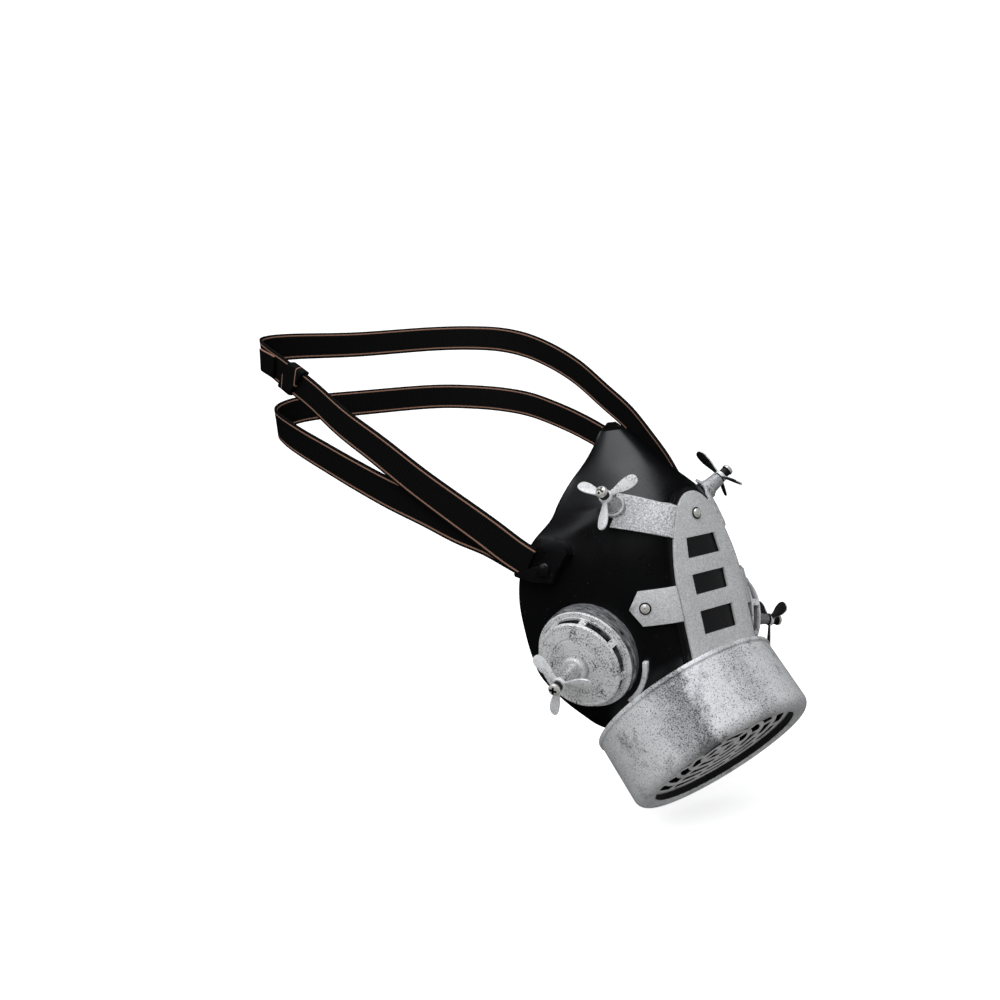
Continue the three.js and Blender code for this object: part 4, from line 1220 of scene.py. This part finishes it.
def grille_outlines():
    """The grille's rim, and its arc slots, staggered from one ring to the next."""
    outlines = [arc_points(MOUTH_RADIUS + 1.6, 0, 2 * math.pi, 96)[:-1]]
    pitch = (MOUTH_RADIUS - GRILLE_HUB_RADIUS) / GRILLE_RINGS
    for ring in range(GRILLE_RINGS):
        low = GRILLE_HUB_RADIUS + ring * pitch
        high = low + pitch - GRILLE_BAR
        count = GRILLE_SLOTS_INNER + 2 * ring
        for number in range(count):
            middle = (number + 0.5 * (ring % 2)) * 2 * math.pi / count
            half = math.pi / count - GRILLE_BAR / (low + high)
            outer = arc_points(high, middle - half, middle + half, 10)
            outlines.append([*outer, *arc_points(low, middle + half, middle - half, 8)])
    return outlines


DARK_BAND_FROM = 2.22
DARK_BAND_TO = 2.78
FAINT_BAND_AT = 1.72
FAINT_BAND_HALF = 0.2
STROKE_LENGTH = 9
STROKE_WIDTH = 0.9


def dark_lengthwise_bands(tree, place):
    """Where the drum is darker: a dark band lengthwise down one side and a faint one beside it,
    and the fine bright strokes that a dry brush left along it."""
    parts = add(tree, "ShaderNodeSeparateXYZ", {0: place})
    angle = add(
        tree, "ShaderNodeMath", {0: parts.outputs[1], 1: parts.outputs[0]}, operation="ARCTAN2"
    )
    ragged = add(
        tree, "ShaderNodeTexNoise", {"Vector": place, "Scale": 1 / 4.5, "Detail": 5, "Roughness": 0.7}
    )
    wavy = add(
        tree,
        "ShaderNodeMath",
        {0: ragged.outputs[0], 1: 0.5, 2: angle.outputs[0]},
        operation="MULTIPLY_ADD",
    )
    shifted = add(tree, "ShaderNodeMath", {0: wavy.outputs[0], 1: 0.25}, operation="SUBTRACT")
    rise = add(
        tree,
        "ShaderNodeMapRange",
        {"Value": shifted.outputs[0], "From Min": DARK_BAND_FROM, "From Max": DARK_BAND_FROM + 0.14},
    )
    fall = add(
        tree,
        "ShaderNodeMapRange",
        {"Value": shifted.outputs[0], "From Min": DARK_BAND_TO, "From Max": DARK_BAND_TO - 0.36},
    )
    band = add(tree, "ShaderNodeMath", {0: rise.outputs[0], 1: fall.outputs[0]}, operation="MINIMUM")
    off = add(
        tree, "ShaderNodeMath", {0: shifted.outputs[0], 1: FAINT_BAND_AT}, operation="SUBTRACT"
    )
    apart = add(tree, "ShaderNodeMath", {0: off.outputs[0]}, operation="ABSOLUTE")
    faint = add(
        tree,
        "ShaderNodeMapRange",
        {"Value": apart.outputs[0], "From Min": FAINT_BAND_HALF, "From Max": 0.05, "To Max": 0.4},
    )
    both = add(tree, "ShaderNodeMath", {0: band.outputs[0], 1: faint.outputs[0]}, operation="MAXIMUM")
    arc = add(tree, "ShaderNodeMath", {0: angle.outputs[0], 1: CANISTER_RADIUS}, operation="MULTIPLY")
    along = add(
        tree, "ShaderNodeMath", {0: parts.outputs[2], 1: 1 / STROKE_LENGTH}, operation="MULTIPLY"
    )
    stroke_place = add(tree, "ShaderNodeCombineXYZ", {0: arc.outputs[0], 1: along.outputs[0]})
    strokes = add(
        tree,
        "ShaderNodeTexNoise",
        {"Vector": stroke_place.outputs[0], "Scale": 1 / STROKE_WIDTH, "Detail": 1},
    )
    streaks = add(
        tree,
        "ShaderNodeMapRange",
        {"Value": strokes.outputs[0], "From Min": 0.7, "From Max": 0.76, "To Max": 0.8},
    )
    return both.outputs[0], streaks.outputs[0]


brushed_drum = dry_brushed(
    "dry_brushed_silver_drum", "#dcddde", "#7d7e80", "#4e4f50", 0.5, 0.59, dark_lengthwise_bands
)
drum = placed(
    "canister_shell", drum_body(), canister_place, brushed_drum, ["canister_drum"], crease=30
)
canister_back = (METRES @ canister_place).inverted()
bare = []
for face in drum.data.polygons:
    middle = canister_back @ face.center
    away = math.hypot(middle.x, middle.y)
    in_mouth = away < MOUTH_RADIUS + 0.1 and middle.z < CANISTER_LENGTH - 0.3
    in_drum = away < CANISTER_RADIUS - CANISTER_WALL + 0.1 and middle.z < CANISTER_LENGTH - 1.8
    if middle.z > 1 and (in_mouth or in_drum):
        bare.append(face.index)
partly(drum, nylon, bare)
grille_top = CANISTER_LENGTH - GRILLE_SUNK - CLEAR
grille = cut_sheet(grille_outlines(), grille_top - GRILLE_THICK, grille_top, GRILLE_ROUNDING)
grille.normal_update()
grille.faces.index_update()
unpainted = [face.index for face in grille.faces if face.normal.z < 0.3]
lattice = placed(
    "canister_lattice", grille, canister_place, brushed_small, ["canister_grille"]
)
partly(lattice, nylon, unpainted)

# The straps are black ribbed elastic with a copper thread just inside each edge. Both start
# under a moulded bracket on the flank and run round the back of the head.
HEAD_BACK = 184
HEAD_HALF_BREADTH = 76
BAND_WIDTH = 13.4
BAND_THICK = 1.2
UPPER_RISE = 115
LOWER_RISE = 83
UPPER_LIFT = 2.8
LOWER_LIFT = 0.4
BRACKET_UP = 14
BAND_COLUMNS = 320
THREAD_INSET = 1.3
THREAD_HALF_WIDTH = 0.3
KEEPER_AT = 0.298
KEEPER_LENGTH = 12
KEEPER_SLANT = 9
TAIL_LENGTH = 16
TAIL_CURL = 1.2


def girth(back, shell_share, head_share, upper, lower):
    """A place on the way round the head: shares of its depth, breadths and the bands' rises."""
    return {"back": back, "shell": shell_share, "head": head_share, "upper": upper, "lower": lower}


HEAD_GIRTH = [
    girth(-0.0165, 0.906, 0, -0.013, -0.037),
    girth(0.033, 0.987, 0, 0.048, 0.042),
    girth(0.087, 1.1, 0, 0.135, 0.133),
    girth(0.152, 0, 0.783, 0.23, 0.211),
    girth(0.227, 0, 0.85, 0.33, 0.307),
    girth(0.326, 0, 0.92, 0.462, 0.418),
    girth(0.434, 0, 0.967, 0.583, 0.536),
    girth(0.543, 0, 0.993, 0.713, 0.649),
    girth(0.653, 0, 1, 0.817, 0.753),
    girth(0.755, 0, 0.98, 0.896, 0.843),
    girth(0.84, 0, 0.914, 0.947, 0.904),
    girth(0.912, 0, 0.776, 0.978, 0.952),
    girth(0.968, 0, 0.553, 0.996, 0.988),
    girth(1, 0, 0, 1, 1),
]


def band_path(rise, column, lift):
    """The middle line of a band, from the right bracket round to the left one."""
    half = []
    for row in HEAD_GIRTH:
        breadth = row["shell"] * HALF_WIDTH + row["head"] * HEAD_HALF_BREADTH
        out = breadth + lift if breadth else 0
        behind = row["back"] * HEAD_BACK + (0 if breadth else lift)
        half.append(Vector((out, behind, BRACKET_UP + row[column] * rise)))
    right = [Vector((-p.x, p.y, p.z)) for p in half[:-1]]
    return [*right, *reversed(half)]


def path_length(points):
    steps = [curve_at(points, i / 400) for i in range(401)]
    return sum((b - a).length for a, b in zip(steps, steps[1:]))


def band_point(points, share, across, out):
    """A place beside a band's middle line, across its width and out from the head."""
    share = min(max(share, 0.002), 0.998)
    along = (curve_at(points, share + 0.002) - curve_at(points, share - 0.002)).normalized()
    outward = Vector((-along.y, along.x, 0)).normalized()
    side = outward.cross(along).normalized()
    return curve_at(points, share) + side * across + outward * out


def band_body(points, start, end, width, thick, columns, slant=0.0, lift=None):
    """A flat strip with rounded edges, wrapped along part of a path."""
    length = path_length(points)
    bm = bmesh.new()
    bmesh.ops.create_grid(bm, x_segments=columns, y_segments=6, size=0.5)
    extruded = bmesh.ops.extrude_face_region(bm, geom=bm.faces[:])
    top = [v for v in extruded["geom"] if isinstance(v, bmesh.types.BMVert)]
    bmesh.ops.translate(bm, verts=top, vec=(0, 0, 1))
    bmesh.ops.recalc_face_normals(bm, faces=bm.faces)
    bmesh.ops.scale(bm, vec=(columns, width, thick), verts=bm.verts)
    rim = [e for e in bm.edges if e.is_manifold and e.calc_face_angle() > math.radians(60)]
    bmesh.ops.bevel(
        bm, geom=rim, offset=0.3 * thick, segments=2, profile=0.5, affect="EDGES", material=-1
    )
    own = bm.verts.layers.float_vector.new("own")
    for vert in bm.verts:
        share = vert.co.x / columns + 0.5
        across, out = vert.co.y, vert.co.z - thick / 2
        run = start + (end - start) * share + slant * across / width * 2 / length
        raised = lift(share) if lift else 0
        vert[own] = ((run - start) * length, across, out + 0.001)
        vert.co = band_point(points, run, across, out + raised)
    return bm


def elastic(name, threads_along):
    """Ribbed elastic: black yarn knitted in ribs along its length, with copper threads that
    run along both edges, or across both ends of the sleeve."""
    material, tree = new_material(name)
    place = add(tree, "ShaderNodeAttribute", attribute_name="own").outputs["Vector"]
    parts = add(tree, "ShaderNodeSeparateXYZ", {0: place})
    if threads_along:
        off = add(tree, "ShaderNodeMath", {0: parts.outputs[1]}, operation="ABSOLUTE").outputs[0]
        line_at = BAND_WIDTH / 2 - THREAD_INSET
    else:
        middle = add(
            tree, "ShaderNodeMath", {0: parts.outputs[0], 1: KEEPER_LENGTH / 2}, operation="SUBTRACT"
        )
        off = add(tree, "ShaderNodeMath", {0: middle.outputs[0]}, operation="ABSOLUTE").outputs[0]
        line_at = KEEPER_LENGTH / 2 - 0.7
    gap = add(tree, "ShaderNodeMath", {0: off, 1: line_at}, operation="SUBTRACT")
    apart = add(tree, "ShaderNodeMath", {0: gap.outputs[0]}, operation="ABSOLUTE")
    thread = add(
        tree,
        "ShaderNodeMapRange",
        {
            "Value": apart.outputs[0],
            "From Min": THREAD_HALF_WIDTH + 0.08,
            "From Max": THREAD_HALF_WIDTH - 0.08,
        },
    )
    yarn = add(
        tree, "ShaderNodeTexNoise", {"Vector": place, "Scale": 2.2, "Detail": 4, "Roughness": 0.7}
    )
    black = add(
        tree,
        "ShaderNodeMix",
        {0: yarn.outputs[0], 6: colour("#030303"), 7: colour("#0d0d0d")},
        data_type="RGBA",
    )
    twist = add(
        tree,
        "ShaderNodeMapping",
        {"Vector": place, "Rotation": (0, 0, 0.6), "Scale": (2.4, 2.4, 2.4)},
    )
    strands = add(tree, "ShaderNodeTexWave", {"Vector": twist.outputs[0], "Scale": 0.5})
    copper = add(
        tree,
        "ShaderNodeMix",
        {0: strands.outputs[1], 6: colour("#5c4035"), 7: colour("#a4806c")},
        data_type="RGBA",
    )
    tone = add(
        tree,
        "ShaderNodeMix",
        {0: thread.outputs[0], 6: black.outputs[2], 7: copper.outputs[2]},
        data_type="RGBA",
    )
    ribs_at = add(tree, "ShaderNodeMapping", {"Vector": place, "Scale": (0.55, 1, 1)})
    ribs = add(
        tree,
        "ShaderNodeTexWave",
        {"Vector": ribs_at.outputs[0], "Scale": 0.35, "Distortion": 0.4, "Detail": 1},
    )
    raised = add(
        tree,
        "ShaderNodeMath",
        {0: thread.outputs[0], 1: 0.8, 2: ribs.outputs[1]},
        operation="MULTIPLY_ADD",
    )
    bump = add(
        tree,
        "ShaderNodeBump",
        {"Height": raised.outputs[0], "Strength": 0.5, "Distance": 0.0002},
    )
    surfaced(
        tree,
        {
            "Base Color": tone.outputs[2],
            "Roughness": 0.8,
            "Specular IOR Level": 0.2,
            "Normal": bump.outputs[0],
        },
    )
    return material


banded_elastic = elastic("ribbed_elastic", True)
sleeve_elastic = elastic("sleeve_elastic", False)
upper_points = band_path(UPPER_RISE, "upper", UPPER_LIFT)
lower_points = band_path(LOWER_RISE, "lower", LOWER_LIFT)
for name, points in (("upper", upper_points), ("lower", lower_points)):
    body = band_body(points, 0.012, 0.988, BAND_WIDTH, BAND_THICK, BAND_COLUMNS)
    placed(f"elastic_band_{name}", body, Matrix(), banded_elastic, [f"strap_{name}"])
upper_length = path_length(upper_points)
keeper_half = KEEPER_LENGTH / 2 / upper_length
keeper = band_body(
    upper_points,
    KEEPER_AT - keeper_half,
    KEEPER_AT + keeper_half,
    BAND_WIDTH + 2 * CLEAR + BAND_THICK,
    3 * BAND_THICK + 2 * CLEAR,
    24,
    slant=KEEPER_SLANT / 2,
)
placed("elastic_sleeve", keeper, Matrix(), sleeve_elastic, ["strap_keeper"])
tail_start = KEEPER_AT + (KEEPER_LENGTH / 2 + KEEPER_SLANT + CLEAR) / upper_length
tail = band_body(
    upper_points,
    tail_start,
    tail_start + TAIL_LENGTH / upper_length,
    0.8 * BAND_WIDTH,
    BAND_THICK,
    24,
    lift=lambda share: BAND_THICK + CLEAR + TAIL_CURL * math.sin(share * math.pi / 2) ** 2,
)
placed("elastic_tail", tail, Matrix(), banded_elastic, ["strap_tail"])

# The brackets are moulded lugs of the same black ABS on the shell's flanks, glued on over the
# ends of both bands, each with a small round button.
for side in ("left", "right"):
    node_name = f"strap_bracket_{side}"
    lug = worked_copy(node_name, 1.1)
    placed(f"band_bracket_{side}", lug, Matrix(), black_abs, [node_name])
    node_name = f"bracket_button_{side}"
    button = worked_copy(node_name, 0.15)
    placed(f"round_button_{side}", button, Matrix(), black_abs, [node_name])

# The stage is a wide, shallow dish of pale board under and round the mask, so that no edge of
# it shows from any side.
STAGE_BELOW = 94
STAGE_RADIUS = 2600
STAGE_RISE = 2400
STAGE_GLOW = 0.6


def pale_board():
    """Matt white board, as a studio sweep is painted."""
    material, tree = new_material("pale_board")
    place = add(tree, "ShaderNodeTexCoord").outputs["Object"]
    fibre = add(tree, "ShaderNodeTexNoise", {"Vector": place, "Scale": 60, "Detail": 2})
    tone = add(
        tree,
        "ShaderNodeMix",
        {0: fibre.outputs[0], 6: colour("#f3f3f3"), 7: colour("#f8f8f8")},
        data_type="RGBA",
    )
    surfaced(
        tree,
        {
            "Base Color": tone.outputs[2],
            "Roughness": 0.9,
            "Specular IOR Level": 0.1,
            "Emission Color": colour("#ffffff"),
            "Emission Strength": STAGE_GLOW,
        },
    )
    return material


sweep_arc = [math.radians(a) for a in range(0, 91, 6)]
sweep = [(0, 0), (STAGE_RADIUS * 0.35, 0)]
sweep += [
    (STAGE_RADIUS * (0.35 + 0.65 * math.sin(a)), STAGE_RISE * (1 - math.cos(a))) for a in sweep_arc[1:]
]
stage_bm = turned(sweep, 96)
bmesh.ops.reverse_faces(stage_bm, faces=stage_bm.faces)
bmesh.ops.transform(
    stage_bm, matrix=METRES @ Matrix.Translation((0, 0, -STAGE_BELOW)), verts=stage_bm.verts
)
stage_mesh = bpy.data.meshes.new("pale_sweep")
stage_bm.to_mesh(stage_mesh)
stage_bm.free()
stage_mesh.shade_smooth()
stage_mesh.materials.append(pale_board())
stage_piece = bpy.data.objects.new("pale_sweep", stage_mesh)
bpy.context.scene.collection.objects.link(stage_piece)
stage_piece.visible_glossy = False
stage_piece.visible_diffuse = False

# The light is soft. A large panel above lights the nose, a small one on the left draws a band
# down the cheek, and a front one fills in. The camera stands where the photograph was taken.
CAMERA_AT = Vector((-307.3, -332.6, 56.5))
CAMERA_RIGHT = Vector((0.7897, -0.5975, -0.139))
CAMERA_UP = Vector((0.1335, -0.0536, 0.9896))
CAMERA_BACK = Vector((-0.5988, -0.8001, 0.0374))
CAMERA_LENS = 39.35
AIM = Vector((0, 10, 0))
DAYLIGHT = "#f8faff"


def panel(name, yaw, pitch, away, size, watts, reflected):
    """A square soft panel that looks at the mask from a direction, reflected in it or not."""
    light = bpy.data.lights.new(name, "AREA")
    light.color = colour(DAYLIGHT)[:3]
    light.size = size
    light.energy = watts
    lamp = bpy.data.objects.new(name, light)
    axis = direction(yaw, pitch)
    lamp.matrix_world = aimed((AIM / 1000) + axis * away, axis)
    lamp.visible_glossy = reflected
    bpy.context.scene.collection.objects.link(lamp)


panel("panel_above", -60, 74, 1.5, 1.1, 11, True)
panel("panel_left", -110, 47, 1.4, 0.6, 1.1, True)
panel("panel_right", 45, 5, 1.6, 1.0, 0.8, True)
panel("panel_front", -45, 35, 1.6, 1.2, 14, False)

world = bpy.data.worlds.new("pale_room")
world.use_nodes = True
world.node_tree.nodes.clear()
room = add(world.node_tree, "ShaderNodeBackground", {"Color": colour("#ffffff"), "Strength": 0.5})
add(world.node_tree, "ShaderNodeOutputWorld", {"Surface": room.outputs[0]})
world.cycles_visibility.glossy = False
bpy.context.scene.world = world
bpy.context.scene.view_settings.view_transform = "Standard"

camera_data = bpy.data.cameras.new("picture_camera")
camera_data.lens = CAMERA_LENS
camera_data.sensor_width = 36
camera_data.clip_start = 0.01
camera = bpy.data.objects.new("picture_camera", camera_data)
turn = Matrix((CAMERA_RIGHT, CAMERA_UP, CAMERA_BACK)).transposed()
camera.matrix_world = Matrix.Translation(CAMERA_AT * 0.001) @ turn.to_4x4()
bpy.context.scene.collection.objects.link(camera)
bpy.context.scene.camera = camera
